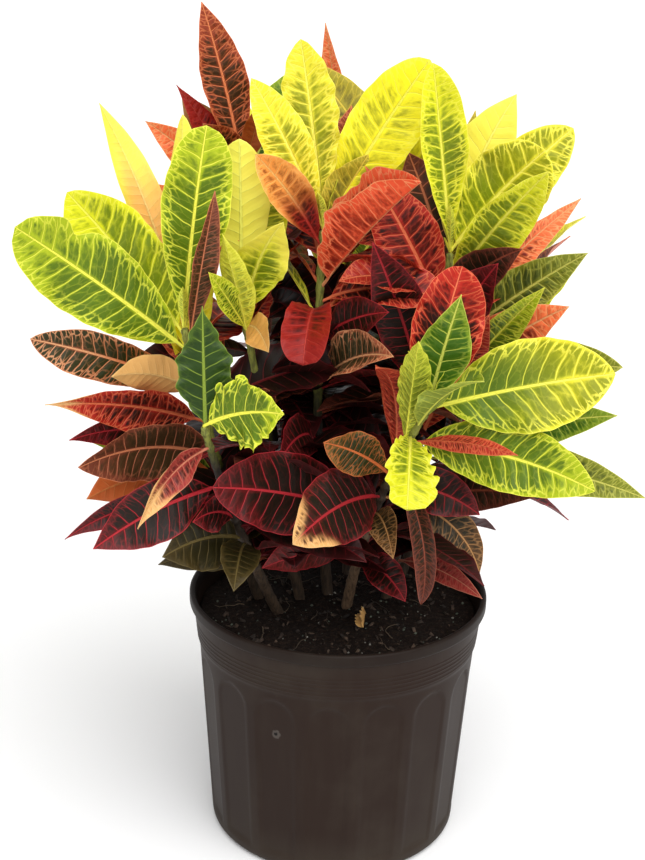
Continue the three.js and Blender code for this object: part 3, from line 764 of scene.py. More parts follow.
def leaf_shape(leaf, seed):
    """Top and bottom of a leaf on the grid of stations and columns, its half width and its blade's shares.
    A column lies at a share of the half width to its side, and the margin has waves, or lobes and teeth, or a
    bite out of it. The blade is lifted towards its margins by its fold and by waves along it. Its two faces
    part by half a round stalk at the foot, and by half the thickness and the midrib's ridge further on."""
    turn = np.random.default_rng(seed).uniform(0, 2 * np.pi, 2)
    blade = np.clip((STATIONS - STALK_SHARE) / (1 - STALK_SHARE), 0, 1)[:, None]
    side, reach = np.sign(COLUMNS), np.abs(COLUMNS)
    frill = DEEP_FRILL if leaf.mark == "wavy" or leaf.lobed else FRILL
    if leaf.lobed:
        margin = 0.94 + 0.14 * np.abs(np.sin(np.pi * TEETH * blade + 1.3 * side)) ** 0.7
        margin = margin * (1 + LOBE_SHARE * np.sin(2 * np.pi * LOBES * blade))
    else:
        margin = 1 + frill * np.sin(2 * np.pi * MARGIN_WAVES * blade + turn[0] + 2.1 * side)
    if leaf.mark == "notched":
        margin = margin - NOTCH_DEPTH * np.exp(-(((blade - NOTCH_PLACE) / NOTCH_LENGTH) ** 2)) * (side < 0)
    width = outline(blade, leaf)
    foot = 1 - smooth(0, FOOT_SHARE, blade)
    least = STALK_RADIUS * foot + TIP_RADIUS * (1 - foot)
    half = np.hypot(leaf.width / 2 * width * margin, least)
    fold = np.radians(leaf.fold)
    wave = np.sin(2 * np.pi * WAVES * blade + np.where(side < 0, 0, 1.9))
    fine = frill * np.sin(2 * np.pi * FINE_WAVES * blade + turn[1] + side) * reach**3
    swell = leaf.width * width * (WAVE_SHARE * wave * reach**1.4 + fine)
    lift = (1 - foot) * (half * np.sin(fold) * reach**1.2 + swell)
    _, across, up = (axis[:, None] for axis in leaf_axes(leaf, STATIONS))
    spine = midrib_points(leaf, len(STATIONS) - 1)[:, None]
    middle = spine + (COLUMNS * half * np.cos(fold))[..., None] * across + lift[..., None] * up
    stalk = foot * least * np.sqrt(1 - COLUMNS**2)
    flat = bpy.context.scene.croton_leaves.thickness / 2 * np.sqrt(1 - COLUMNS**8)
    ridge = np.exp(-((COLUMNS * half / RIDGE_WIDTH) ** 2)) * (1 - 0.7 * blade)
    above = stalk + (1 - foot) * (flat + RIDGE_ABOVE * ridge)
    under = stalk + (1 - foot) * (flat + RIDGE_BELOW * ridge * (1 - COLUMNS**2))
    top = middle + (above * (reach < 1))[..., None] * up
    bottom = middle - (under * (reach < 1))[..., None] * up
    return top, bottom, half, blade[:, 0]


def leaf_colours(leaf, half, blade, seed):
    """Colours and vein sizes at each point of the grid, for the top and the underside. Spread grows towards
    the tip and the margins, and a mark turns the last part of the leaf to other colours. Without one no point
    is late enough to change. Each seed puts the leaf on another part of the pattern."""
    draws = np.random.default_rng(seed + 1)
    look = LOOKS[leaf.look]
    bright = draws.uniform(0.88, 1.1)
    shift = draws.uniform(-0.07, 0.07)
    share = np.broadcast_to(blade[:, None], half.shape)
    reach = np.abs(COLUMNS)[None, :]
    late, low, high = MARKS.get(leaf.mark, (look, 2, 3))
    changed = smooth(low, high, share + 0.06 * np.sin(5 * COLUMNS + seed) + 0.12 * reach**3)
    spread = max(look.spread + shift, 0) + 0.45 * smooth(0.5, 1, share) + 0.22 * reach**2
    spread = spread + (late.spread - spread) * changed
    net = look.net + (late.net - look.net) * changed
    midrib = (0.5 + 1.5 * (1 - share) ** 0.8) * min(1, leaf.width / 50)
    lateral = 0.4 * min(1, leaf.width / 45) * (1 - 0.3 * reach) * np.ones_like(share)
    spacing = np.full_like(share, 5 + leaf.width / 8)
    along = share * leaf.length + PATTERN_STEP * (seed % PATTERN_PLACES)
    part = changed[..., None]
    result = {}
    for side in (1, -1):
        values = {}
        for key, wash in WASH.items():
            colour = np.array(getattr(look, key)) / 100
            if side < 0:
                colour = np.minimum((colour * (1 - wash) + np.array(look.wash) / 100 * wash) * UNDER_GLOW, 1)
            values[key] = colour * bright * (1 - part) + np.array(getattr(late, key)) / 100 * part
        values["lie"] = np.stack([COLUMNS * half, along, half * (1 - reach)], -1)
        values["veins"] = np.stack([midrib, lateral, spacing], -1)
        values["growth"] = np.stack([spread, net, 0 * share + side], -1)
        result[side] = values
    return result


def leaf_sheet(leaf, seed):
    """A leaf's surface, the two shares and the face of each corner for its map, its values and its margin.
    The two faces share the points of the margin, and a cap closes the foot and the tip."""
    top, bottom, half, blade = leaf_shape(leaf, seed)
    colours = leaf_colours(leaf, half, blade, seed)
    rows, columns = len(STATIONS), len(COLUMNS)
    points = np.concatenate([top.reshape(-1, 3), bottom[:, 1:-1].reshape(-1, 3)])
    above = np.arange(rows * columns).reshape(rows, columns)
    under = above.copy()
    under[:, 1:-1] = rows * columns + np.arange(rows * (columns - 2)).reshape(rows, columns - 2)
    row, column = np.meshgrid(np.arange(rows - 1), np.arange(columns - 1), indexing="ij")
    around = [(0, 0), (1, 0), (1, 1), (0, 1)]
    quads, shares = [], []
    for face, sheet, order in ((0, above, around), (1, under, around[::-1])):
        corners = [(row + r, column + c) for r, c in order]
        quads.append(np.stack([sheet[at] for at in corners], -1).reshape(-1, 4))
        place = [np.stack([COLUMNS[c], STATIONS[r], np.full(r.shape, face)], -1) for r, c in corners]
        shares.append(np.stack(place, 2).reshape(-1, 3))
    ring = [np.concatenate([above[r], under[r, -2:0:-1]]) for r in (0, -1)]
    caps = np.stack([ring[0], ring[1][::-1]])
    spot = np.concatenate([COLUMNS, COLUMNS[-2:0:-1]])
    for end, columns_round in ((0.0, spot), (1.0, spot[::-1])):
        shares.append(np.stack([columns_round, np.full(len(spot), end), np.zeros(len(spot))], -1))
    values = {
        key: np.concatenate([vectors.reshape(-1, 3), colours[-1][key][:, 1:-1].reshape(-1, 3)])
        for key, vectors in colours[1].items()
    }
    edge = np.zeros((rows, columns), bool)
    edge[blade > SHARP_FROM, 0] = edge[blade > SHARP_FROM, -1] = True
    sharp = np.concatenate([edge.ravel(), np.zeros(rows * (columns - 2), bool)])
    return (points, np.concatenate(quads), caps), np.concatenate(shares), values, sharp


def leaf_piece(name, leaves, seed):
    """Some leaves as one mesh. Its map has a column of cells for each leaf, its top above its underside."""
    surfaces, quad_uv, cap_uv, values, sharp = [], [], [], {}, []
    for i, leaf in enumerate(leaves):
        surface, shares, theirs, hard = leaf_sheet(leaf, seed + LEAF_SEED_STEP * i)
        u = (i + 0.5 + 0.46 * shares[:, 0]) / len(leaves)
        v = (1 - shares[:, 2] + 0.03 + 0.94 * shares[:, 1]) / 2
        uv = np.stack([u, v], -1)
        quad_corners = surface[1].size
        quad_uv.append(uv[:quad_corners])
        cap_uv.append(uv[quad_corners:])
        surfaces.append(surface)
        sharp.append(hard)
        for key, vectors in theirs.items():
            values.setdefault(key, []).append(vectors)
    points, *faces = joined(surfaces)
    values = {key: np.concatenate(vectors) for key, vectors in values.items()}
    return put_mesh(name, points, faces, np.concatenate(quad_uv + cap_uv), values, np.concatenate(sharp))


def inner_leaves(stem, seed):
    """Small dark leaves close round a stem, which fill the inside of the plant, the high ones red. Most take
    the near-black shade look, which is painted shade. They point towards its heart, more or less, rise more
    the higher they grow and arch over. At the front those are left out that would come out high up among
    the leaves of the crown, or low down over the soil."""
    draws = np.random.default_rng(seed)
    count = bpy.context.scene.croton_leaves.inner
    reach = INNER_REACH if stem.top[1] > FRONT else FRONT_REACH
    leaves = []
    for i in range(count):
        place = INNER_LOW + reach * (i + draws.uniform(0.2, 0.8)) / count
        base = curve_points(stem, place)
        inwards = np.degrees(np.arctan2(HEART[1] - base[1], HEART[0] - base[0]))
        azimuth = inwards + GOLDEN_ANGLE * i % 160 - 80
        length = draws.uniform(100, 150)
        rise = 10 + 35 * place + draws.uniform(-12, 12)
        width, droop, roll = length * draws.uniform(0.4, 0.5), draws.uniform(30, 65), draws.uniform(-40, 40)
        look = INNER_LOOKS[draws.integers(len(INNER_LOOKS))]
        if place > INNER_RED:
            look = "ember"
        leaf = Leaf(place, base, azimuth, rise, length, width, droop, roll, 16, 0.5, look=look)
        tip = midrib_points(leaf, 4)[-1]
        if tip[1] > FRONT_TIP or place < FRONT_PLACE and tip[2] > FRONT_HEIGHT:
            leaves.append(leaf)
    return leaves


class Draws:
    """The part's own seeded draws between 0 and 1: each is the one before times a factor, as a remainder."""

    FACTOR = 16807
    MODULUS = 2**31 - 1

    def __init__(self, seed):
        self.seed = seed

    def __call__(self):
        self.seed = self.seed * self.FACTOR % self.MODULUS
        return self.seed / self.MODULUS


def node_of(stem, place):
    return f"stem_{stem.name}_{'lower' if place < stem.split else 'crown'}"


def leaf_from_row(stem, row, lobed=False):
    base = curve_points(stem, row.place)
    azimuth, rise, length = aimed_at(base, np.array([row.x, row.y, row.z], float), row.droop)
    shape = (row.width, row.droop, row.roll, row.fold, row.widest)
    node = node_of(stem, row.place)
    return Leaf(row.place, base, azimuth, rise, length, *shape, lobed, row.look, row.mark, node)


def leaf_from_rule(stem, fill, index, draw, colour):
    """The part's rule: steeper and less arched the higher it grows, and turned by the golden angle."""
    place = fill.low + (fill.high - fill.low) * (index + 0.5) / fill.count
    length = fill.length * (0.85 + 0.3 * draw())
    azimuth = fill.start + (GOLDEN_ANGLE * index + 20 * draw()) % fill.span
    rise = 8 + 62 * place**2 + 16 * draw()
    width = length * (0.3 + 0.08 * draw())
    droop = 55 - 40 * place + 20 * draw()
    roll = 50 * (draw() - 0.5)
    base, node = curve_points(stem, place), node_of(stem, place)
    looks = LOWER_LOOKS if place < stem.split else CROWN_LOOKS
    look = looks[int(colour() * len(looks))]
    return Leaf(place, base, azimuth, rise, length, width, droop, roll, 12, 0.5, look=look, node=node)


def grown_leaves():
    """Every leaf of the plant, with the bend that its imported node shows: the one whose tip is a point there.
    The part leaves out a leaf that no bend brings clear, and so does this."""
    points = {}
    for name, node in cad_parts.items():
        co = np.empty(3 * len(node.data.vertices))
        node.data.vertices.foreach_get("co", co)
        points[name] = co.reshape(-1, 3) / METRES
    leaves = []
    for stem in STEMS:
        leaves += [leaf_from_row(stem, row, True) for row in stem.lobed]
        leaves += [leaf_from_row(stem, row) for row in stem.leaves]
    draw, colour = Draws(PART_SEED), Draws(LOOK_SEED)
    for stem in STEMS:
        for fill in stem.fills:
            leaves += [leaf_from_rule(stem, fill, i, draw, colour) for i in range(fill.count)]
    found = []
    for leaf in leaves:
        for rise, azimuth in BENDS:
            bent = leaf._replace(rise=leaf.rise + rise, azimuth=leaf.azimuth + azimuth)
            _, _, up = leaf_axes(bent, np.array([1.0]))
            tip = midrib_points(bent, CAD_LEAF_STEPS)[-1] + up[0] * CAD_MIDRIB_THICKNESS / 2
            if np.linalg.norm(points[leaf.node] - tip, axis=1).min() < MATCH:
                found.append(bent)
                break
    return found


def leaf_material():
    """Veins drawn on the leaf laid flat: x across from the midrib and y along it, in millimetres. Side veins
    leave the midrib at even steps and bend forward. The second colour glows out from every vein and from the
    margin as far as the spread lets it, and leaves islands of the first, drawn out along the side veins."""
    s = Surface("croton_leaf")
    x, y, edge = s.split(s.attribute("lie"))
    midrib, lateral, spacing = s.split(s.attribute("veins"))
    spread, net, side = s.split(s.attribute("growth"))
    away = x.math("ABSOLUTE")
    coarse = s.noise(s.join(x, y, 0.0), 0.03, 2.0)
    fine = s.noise(s.join(x, y, 0.0), 0.3, 3.0, 0.6)
    forward = away * 0.5 + away * away * 0.004 + (coarse - 0.5) * 10
    phase = (y - forward) / spacing + x.above(-0.01, 0.01) * 0.45
    cycle = phase.math("FRACT")
    from_lateral = (0.5 - (cycle - 0.5).math("ABSOLUTE")) * spacing
    flecks = s.noise(s.join(x * 0.55, y - forward, 0.0), 0.3, 3.0, 0.6)
    bent = (fine - 0.5) * 0.5
    cells = s.node(
        "ShaderNodeTexVoronoi",
        {"feature": "DISTANCE_TO_EDGE", "voronoi_dimensions": "2D"},
        Vector=s.join(x / spacing * 1.2 + bent, (y - forward) / spacing * 2.2 + bent, 0.0),
        Scale=1.0,
    )
    from_net = cells.out("Distance") * spacing * 0.42
    plain = net * (0.12 + edge.below(2.0, 15.0) * 0.88)

    near_midrib = 1 - away / (midrib + 1.0 + spread * 7)
    near_lateral = 1 - from_lateral / (lateral + 0.5 + spread * 3.4)
    near_edge = 1 - edge / (0.8 + spread * 13)
    near_net = (1 - from_net / (0.4 + spread * 2)) * plain
    near = near_midrib.most(near_lateral).most(near_edge).most(near_net).most(-1.2)
    near = near + (flecks - 0.5) * (spread * 1.6 + 0.4) + (coarse - 0.5) * 1.3 + spread * 1.3 - 0.7
    halo = near.above(-0.5, 0.5)
    line_midrib = 1 - (away / midrib).above(0.7, 1.2)
    line_lateral = (from_lateral / lateral).below(0.5, 1.8) * edge.above(0.5, 6.0 + (1 - net) * 8) * 0.8
    line_edge = edge.below(0.3, 0.9) * 0.8
    line_net = from_net.below(0.1, 0.7) * plain * 0.8
    line = line_midrib.most(line_lateral).most(line_edge).most(line_net)

    shaded = s.scaled(s.attribute("ground"), 0.75)
    ground = s.mix((fine * 0.6 + coarse * 0.6).above(0.3, 0.8), shaded, s.attribute("ground"))
    colour = s.mix(halo, ground, s.attribute("halo"))
    colour = s.mix(line, colour, s.attribute("vein"))
    settings = bpy.context.scene.croton_leaves
    s.set(Base_Color=colour, Roughness=settings.roughness, Specular_IOR_Level=settings.gloss)
    pillow = (from_lateral / spacing * 2).math("SINE") * edge.above(0.5, 6.0) * (0.35 + net * 0.65)
    height = (pillow * 0.7 - line_midrib * 0.5 - line_lateral * 0.22 - line_net * 0.1 + fine * 0.12) * side
    s.bump(height, settings.relief * METRES)
    return s.material


# Settings


def number_setting(name, description, default, **more):
    return bpy.props.FloatProperty(name=name, description=description, default=default, **more)


def share_setting(name, description, default):
    return number_setting(name, description, default, min=0, max=1, subtype="FACTOR")


def count_setting(name, description, default):
    return bpy.props.IntProperty(name=name, description=description, default=default, min=1)


def colour_setting(name, description, default):
    return bpy.props.FloatVectorProperty(
        name=name, description=description, default=default, subtype="COLOR", size=3, min=0, max=1
    )


class CrotonPotSettings(bpy.types.PropertyGroup):
    """The pot's relief and colours."""

    panel_depth: number_setting("Panel depth", "Depth of the wall panels in millimetres", 2.1, min=0, max=3)
    ring_height: number_setting("Ring height", "Height of the collar's rings in millimetres", 0.55, min=0)
    plastic: colour_setting("Plastic", "Colour of the moulded wall", (0.0185, 0.009, 0.0055))
    dust: colour_setting("Dust", "Colour of the dust and scuffs on the wall", (0.07, 0.06, 0.045))
    roughness: share_setting("Roughness", "Roughness of the plastic", 0.5)


class CrotonSoilSettings(bpy.types.PropertyGroup):
    """The potting mix and what lies on it."""

    mix: colour_setting("Mix", "Colour of the potting mix", (0.0075, 0.0038, 0.0025))
    grains: count_setting("Grains", "White and grey grains on the mix", 150)
    chips: count_setting("Chips", "Chips of bark on the mix", 230)
    roots: count_setting("Root hairs", "Fine roots that show on the mix", 26)


class CrotonLeafSettings(bpy.types.PropertyGroup):
    """What all the leaves have in common."""

    inner: count_setting("Inner leaves", "Small dark leaves inside the plant, for each stem", 18)
    thickness: number_setting("Thickness", "Thickness of a blade in millimetres", 0.8, min=0.3, max=1.5)
    roughness: share_setting("Roughness", "Roughness of a blade", 0.42)
    gloss: share_setting("Gloss", "Strength of a blade's reflections", 0.22)
    relief: number_setting("Relief", "Height of the relief between the veins in millimetres", 1.1)


class CrotonStemSettings(bpy.types.PropertyGroup):
    """The stems' colours."""

    bark: colour_setting("Bark", "Colour of the old bark", (0.2, 0.12, 0.065))
    green: colour_setting("Green", "Colour of the young stem", (0.3, 0.32, 0.05))


class CrotonStageSettings(bpy.types.PropertyGroup):
    """The floor, the light and the camera."""

    floor: colour_setting("Floor", "Colour of the floor", (0.97, 0.97, 0.97))
    ambient: number_setting("Ambient", "Strength of the even light from all round", 0.58, min=0)
    overhead: number_setting("Overhead", "Strength of the wide light from above", 2.9, min=0)
    distance: number_setting("Distance", "From the camera to the middle of its view", 1.5, unit="LENGTH")
    elevation: number_setting("Elevation", "Of the camera above the level", np.radians(20.2), unit="ROTATION")
    lean: number_setting("Lean", "Of the camera about its line of sight", np.radians(1.42), unit="ROTATION")
    lens: number_setting("Lens", "Focal length in millimetres", 68.9)


SETTINGS = {
    "croton_pot": CrotonPotSettings,
    "croton_soil": CrotonSoilSettings,
    "croton_leaves": CrotonLeafSettings,
    "croton_stems": CrotonStemSettings,
    "croton_stage": CrotonStageSettings,
}


# The pot


def body_radius(z):
    """Radius of the outer wall below the collar, a straight line between the foot and the collar."""
    return np.interp(z, [FOOT_ROUNDING, COLLAR_BOTTOM], [FOOT_RADIUS, BODY_TOP_RADIUS])


def pot_profile(ring_height):
    """Radius and height from the middle of the underside, up the outside, over the lip and down the inside.
    The heel and the lip are arcs, and the collar carries fine rings as raised cosines."""
    turn = np.linspace(0, np.pi / 2, HEEL_ROWS)[1:]
    heel_middle = FOOT_RADIUS - FOOT_ROUNDING
    underside = [[r, UNDERSIDE] for r in (POLE_RADIUS, 60, 96)] + [[99, 0.2], [102, 0], [heel_middle, 0]]
    heel = np.stack([heel_middle + FOOT_ROUNDING * np.sin(turn), FOOT_ROUNDING * (1 - np.cos(turn))], -1)
    wall_z = np.linspace(FOOT_ROUNDING + 2, COLLAR_BOTTOM - 4, WALL_ROWS)
    wall = np.stack([body_radius(wall_z), wall_z], -1)
    z = np.linspace(COLLAR_BOTTOM - 2, COLLAR_TOP - 1, COLLAR_ROWS)
    flare_z = [COLLAR_BOTTOM - 2, COLLAR_BOTTOM + 1, COLLAR_TOP]
    flare = np.interp(z, flare_z, [BODY_TOP_RADIUS, BODY_TOP_RADIUS + 1.2, COLLAR_TOP_RADIUS])
    ring = np.clip(np.cos((z - RING_MIDDLE) * 2 * np.pi / RING_PITCH), 0, 1) ** 2
    collar = np.stack([flare + ring_height * ring * (z > RINGS_LOW) * (z < RINGS_HIGH), z], -1)
    gap = [[COLLAR_TOP_RADIUS - 0.8, COLLAR_TOP - 0.4]]
    bend = np.linspace(-np.pi / 2, np.pi / 2, LIP_ROWS)
    lip_x = RIM_RADIUS - LIP_ROUNDING + LIP_ROUNDING * np.cos(bend)
    lower = COLLAR_TOP + LIP_ROUNDING * (1 + np.sin(bend))
    upper = POT_HEIGHT - LIP_ROUNDING * (1 - np.sin(bend))
    middle = LIP_ROWS // 2
    lip = np.concatenate([np.stack([lip_x, lower], -1)[: middle + 1], np.stack([lip_x, upper], -1)[middle:]])
    inside = [
        [RIM_RADIUS - 4.2, POT_HEIGHT - 0.5],
        [RIM_RADIUS - 5.4, POT_HEIGHT - 2.5],
        [COLLAR_TOP_RADIUS - WALL, COLLAR_TOP],
        [BODY_TOP_RADIUS - WALL, COLLAR_BOTTOM],
        [body_radius(60) - WALL, 60],
        [body_radius(12) - WALL, 12],
        [body_radius(8) - WALL - 2, 5],
        [FOOT_RADIUS - 10, WALL],
        [60, WALL],
        [POLE_RADIUS, WALL],
    ]
    return np.concatenate([underside, heel, wall, collar, gap, lip, inside])


def pot_mesh(settings):
    """The profile turned about Z. Inside an arch-topped panel the wall is the flat face of a polygon, whose
    radius is its middle distance over the cosine of the angle from the panel's middle."""
    profile = pot_profile(settings.ring_height)
    columns = PANELS * COLUMNS_PER_PANEL
    angle = np.linspace(0, 2 * np.pi, columns, endpoint=False)
    pitch = 2 * np.pi / PANELS
    start = np.radians(PANEL_TURN) - np.pi / 2
    off = (angle - start + pitch / 2) % pitch - pitch / 2
    radius, height = (np.broadcast_to(profile[:, i : i + 1], (len(profile), columns)) for i in (0, 1))
    outside = (np.arange(len(profile)) < profile[:, 1].argmax())[:, None]
    arch = PANEL_TOP - PANEL_WIDTH / 2
    half = PANEL_WIDTH / 2 * np.interp(height, [PANEL_BOTTOM, arch], [PANEL_NARROWING, 1])
    within = np.minimum(half - np.hypot(radius * off, np.maximum(height - arch, 0)), height - PANEL_BOTTOM)
    flat = (radius - settings.panel_depth) / np.cos(off)
    share = smooth(*PANEL_STEP, within) * outside
    radius = radius * (1 - share) + np.minimum(flat, radius) * share
    rings = np.stack([radius * np.cos(angle), radius * np.sin(angle), height], -1)
    points, *faces = closed_rings(rings, [[0, 0, UNDERSIDE], [0, 0, WALL]])
    return put_mesh("nursery_pot", points, faces)


def cut_drains(pot):
    """Cuts round holes through the floor, at even angles."""
    plugs = []
    for i in range(DRAIN_HOLES):
        angle = np.radians(PANEL_TURN + (i + 0.25) * 360 / DRAIN_HOLES - 90)
        middle = DRAIN_RING_RADIUS * np.array([np.cos(angle), np.sin(angle), 0])
        plugs.append(tube(middle + np.array([[0, 0, -2.0], [0, 0, 0], [0, 0, 2]]) * WALL, DRAIN_RADIUS, 20))
    points, *faces = joined(plugs)
    cutter = put_mesh("drain_cutter", points, faces)
    cut = pot.modifiers.new("drain", "BOOLEAN")
    cut.object = cutter
    cut.operation = "DIFFERENCE"
    cut.solver = "EXACT"
    bpy.context.view_layer.update()
    shape = pot.evaluated_get(bpy.context.evaluated_depsgraph_get())
    mesh = bpy.data.meshes.new_from_object(shape)
    pot.modifiers.clear()
    pot.data = mesh
    mesh.name = pot.name
    bpy.data.objects.remove(cutter)
    mesh.shade_smooth()
    mesh.set_sharp_from_angle(angle=np.radians(50))


def pot_material(settings):
    """Satin plastic with faint upright flow marks, dust in patches and low on the wall, a darker lip, and one
    scuff round a pit."""
    s = Surface("pot_plastic")
    place = s.place()
    x, y, z = s.split(place)
    streaks = s.noise(s.join(x * 1.0, y * 1.0, z * 0.12), 90.0, 3.0)
    patches = s.noise(place, 9.0, 4.0, 0.6)
    grain = s.noise(place, 900.0, 2.0)
    dust = (patches - 0.45).above(0.0, 0.4) * 0.28 + z.below(0.0, 0.05) * 0.25 + (streaks - 0.5) * 0.2
    away = s.node("ShaderNodeVectorMath", {"operation": "DISTANCE"}, place, SCUFF_PLACE).out("Value")
    rough_away = away + (s.noise(place, 300.0, 3.0) - 0.5) * 0.005
    pit = rough_away.below(0.0012, 0.0024)
    scuff = rough_away.below(0.0036, 0.0052) * (1 - pit)
    lip = z.above(COLLAR_TOP * METRES, (COLLAR_TOP + 1) * METRES)
    colour = s.mix(dust.most(0.0), tuple(settings.plastic), tuple(settings.dust))
    colour = s.mix((lip * 0.4).most(pit * 0.9), colour, (0.002, 0.0012, 0.001))
    colour = s.mix(scuff * 0.22, colour, (0.24, 0.22, 0.2))
    rough = settings.roughness + dust * 0.3 + scuff * 0.3 + (grain - 0.5) * 0.06
    s.set(Base_Color=colour, Roughness=rough, Specular_IOR_Level=0.14)
    s.bump(grain * 0.4 + streaks * 0.6 - pit * 9, 0.00006)
    return s.material


class CROTON_OT_pot(bpy.types.Operator):
    """Adds the nursery pot with its lip, collar rings, wall panels and drain holes"""

    bl_idname = "croton.add_pot"
    bl_label = "Add pot"

    def execute(self, context):
        settings = context.scene.croton_pot
        pot = pot_mesh(settings)
        cut_drains(pot)
        finish_piece(pot, pot_material(settings), "pot_plastic", "pot")
        return {"FINISHED"}


# The soil


def soil_height(x, y):
    """The top of the mix: long swells, as in the part."""
    swell = np.sin(x / 19) * np.cos(y / 23 + 1) + 0.5 * np.sin((x + y) / 9)
    return SOIL_TOP + SOIL_LUMP * swell


def rough_height(x, y):
    """Soil height with crumbs: smaller waves in crossing directions."""
    crumbs = np.sin(x / 2.3 + 2 * np.sin(y / 5.1)) * np.sin(y / 2.7 + 2 * np.cos(x / 4.3))
    grit = np.sin(x / 1.1 + y / 1.7) * np.sin(y / 0.9 - x / 1.9)
    return soil_height(x, y) + 0.9 * crumbs + 0.35 * grit


def soil_mesh():
    """A plug that fills the pot, with a rough top on a grid of rings."""
    angle = np.linspace(0, 2 * np.pi, SOIL_COLUMNS, endpoint=False)
    shares = np.linspace(1, 0.01, SOIL_RINGS)[:, None]
    x, y = ((SOIL_RADIUS + 2.2) * shares * turn(angle) for turn in (np.cos, np.sin))
    top = np.stack([x, y, rough_height(x, y)], -1)
    bottom = WALL + 0.4
    radii = (FOOT_RADIUS - 14, FOOT_RADIUS - 5.5, SOIL_RADIUS - 1)
    side = zip(radii, (bottom, FOOT_ROUNDING + 1, COLLAR_BOTTOM))
    wall = np.stack([np.stack([r * np.cos(angle), r * np.sin(angle), 0 * angle + z], -1) for r, z in side])
    poles = [[0, 0, bottom], [0, 0, soil_height(0, 0)]]
    points, *faces = closed_rings(np.concatenate([wall, top]), poles)
    return put_mesh("potting_mix", points, faces)


def soil_material(settings):
    """Dark peat with brown fibres and paler specks."""
    s = Surface("potting_mix")
    place = s.place()
    crumbs = s.noise(place, 260.0, 6.0, 0.7)
    fibres = s.noise(s.stretched(place, 1, 4, 1), 160.0, 4.0, 0.7)
    specks = s.node("ShaderNodeTexVoronoi", {"feature": "F1"}, Vector=place, Scale=420.0).out("Distance")
    colour = s.mix(crumbs.above(0.45, 0.8), tuple(settings.mix), (0.04, 0.024, 0.016))
    colour = s.mix(fibres.above(0.6, 0.75) * 0.6, colour, (0.11, 0.075, 0.05))
    colour = s.mix(specks.below(0.06, 0.14) * 0.5, colour, (0.2, 0.18, 0.14))
    s.set(Base_Color=colour, Roughness=0.9, Specular_IOR_Level=0.15)
    s.bump(crumbs + fibres * 0.5, 0.0014)
    return s.material


def scattered(count, reach, draws):
    """Even draws over a disc, clear of its edge."""
    angle = draws.uniform(0, 2 * np.pi, count)
    radius = reach * np.sqrt(draws.uniform(0, 1, count))
    return radius * np.cos(angle), radius * np.sin(angle)


def turned(draws, count):
    """Random rotation matrices, from unit quaternions."""
    w, x, y, z = unit(draws.normal(size=(count, 4))).T
    rows = [
        [1 - 2 * (y * y + z * z), 2 * (x * y - z * w), 2 * (x * z + y * w)],
        [2 * (x * y + z * w), 1 - 2 * (x * x + z * z), 2 * (y * z - x * w)],
        [2 * (x * z - y * w), 2 * (y * z + x * w), 1 - 2 * (x * x + y * y)],
    ]
    return np.moveaxis(np.array(rows), -1, 0)


def strewn(name, shape, faces, sizes, tints, draws):
    """Copies of a small closed shape, each jittered, stretched, turned and half sunk in the soil."""
    count = len(sizes)
    x, y = scattered(count, SOIL_RADIUS - 5, draws)
    jitter = shape * draws.uniform(0.75, 1.25, (count, *shape.shape))
    points = np.einsum("nij,nkj->nki", turned(draws, count), jitter * sizes[:, None])
    points = points + np.stack([x, y, rough_height(x, y) + 0.15 * sizes.mean(1)], -1)[:, None]
    stride = np.arange(count)[:, None, None] * len(shape)
    faces = (faces + stride).reshape(-1, faces.shape[1])
    return put_mesh(name, points.reshape(-1, 3), [faces], values={"tint": np.repeat(tints, len(shape), 0)})


def grain_shape():
    """An icosahedron: three golden rectangles at right angles."""
    golden = (1 + 5**0.5) / 2
    flat = np.array([[0, a, b * golden] for a in (-1, 1) for b in (-1, 1)])
    points = unit(np.concatenate([np.roll(flat, k, 1) for k in range(3)]).astype(float))
    gaps = np.linalg.norm(points[:, None] - points, axis=-1)
    near = (gaps > 0) & (gaps < 1.2)
    faces = [
        (i, j, k) if np.dot(np.cross(points[i], points[j]), points[k]) > 0 else (i, k, j)
        for i in range(12)
        for j in range(i + 1, 12)
        for k in range(j + 1, 12)
        if near[i, j] and near[j, k] and near[i, k]
    ]
    return points, np.array(faces)


def litter_material():
    """A colour that each bit brings with it, a little mottled."""
    s = Surface("soil_litter")
    mottle = s.noise(s.place(), 700.0, 3.0)
    tint = s.attribute("tint")
    s.set(Base_Color=s.mix(mottle.above(0.3, 0.7), s.scaled(tint, 0.45), tint), Roughness=0.85)
    s.bump(mottle, 0.0004)
    return s.material


def grain_mesh(count, draws):
    """Round grains, three in ten of them white and the others grey."""
    pale = draws.uniform(0, 1, count)[:, None] < 0.3
    tints = np.where(pale, [0.42, 0.4, 0.34], [0.13, 0.15, 0.11]) * draws.uniform(0.5, 1.1, (count, 1))
    sizes = draws.uniform(0.5, 1.6, (count, 1)) * draws.uniform(0.7, 1.2, (count, 3))
    return strewn("grains", *grain_shape(), sizes, tints, draws)


def chip_mesh(count, draws):
    """Chips of bark, which are flat boxes."""
    box = np.array([[x, y, z] for x in (-1, 1) for y in (-1, 1) for z in (-1, 1)], float)
    sides = np.array([[0, 1, 3, 2], [4, 6, 7, 5], [0, 4, 5, 1], [2, 3, 7, 6], [0, 2, 6, 4], [1, 5, 7, 3]])
    sizes = draws.uniform(0.7, 1, (count, 3)) * [3.2, 1.5, 0.7] * draws.uniform(0.4, 1.4, (count, 1))
    tints = np.array([0.075, 0.045, 0.028]) * draws.uniform(0.2, 1.4, (count, 1))
    return strewn("bark_chips", box, sides, sizes, tints, draws)


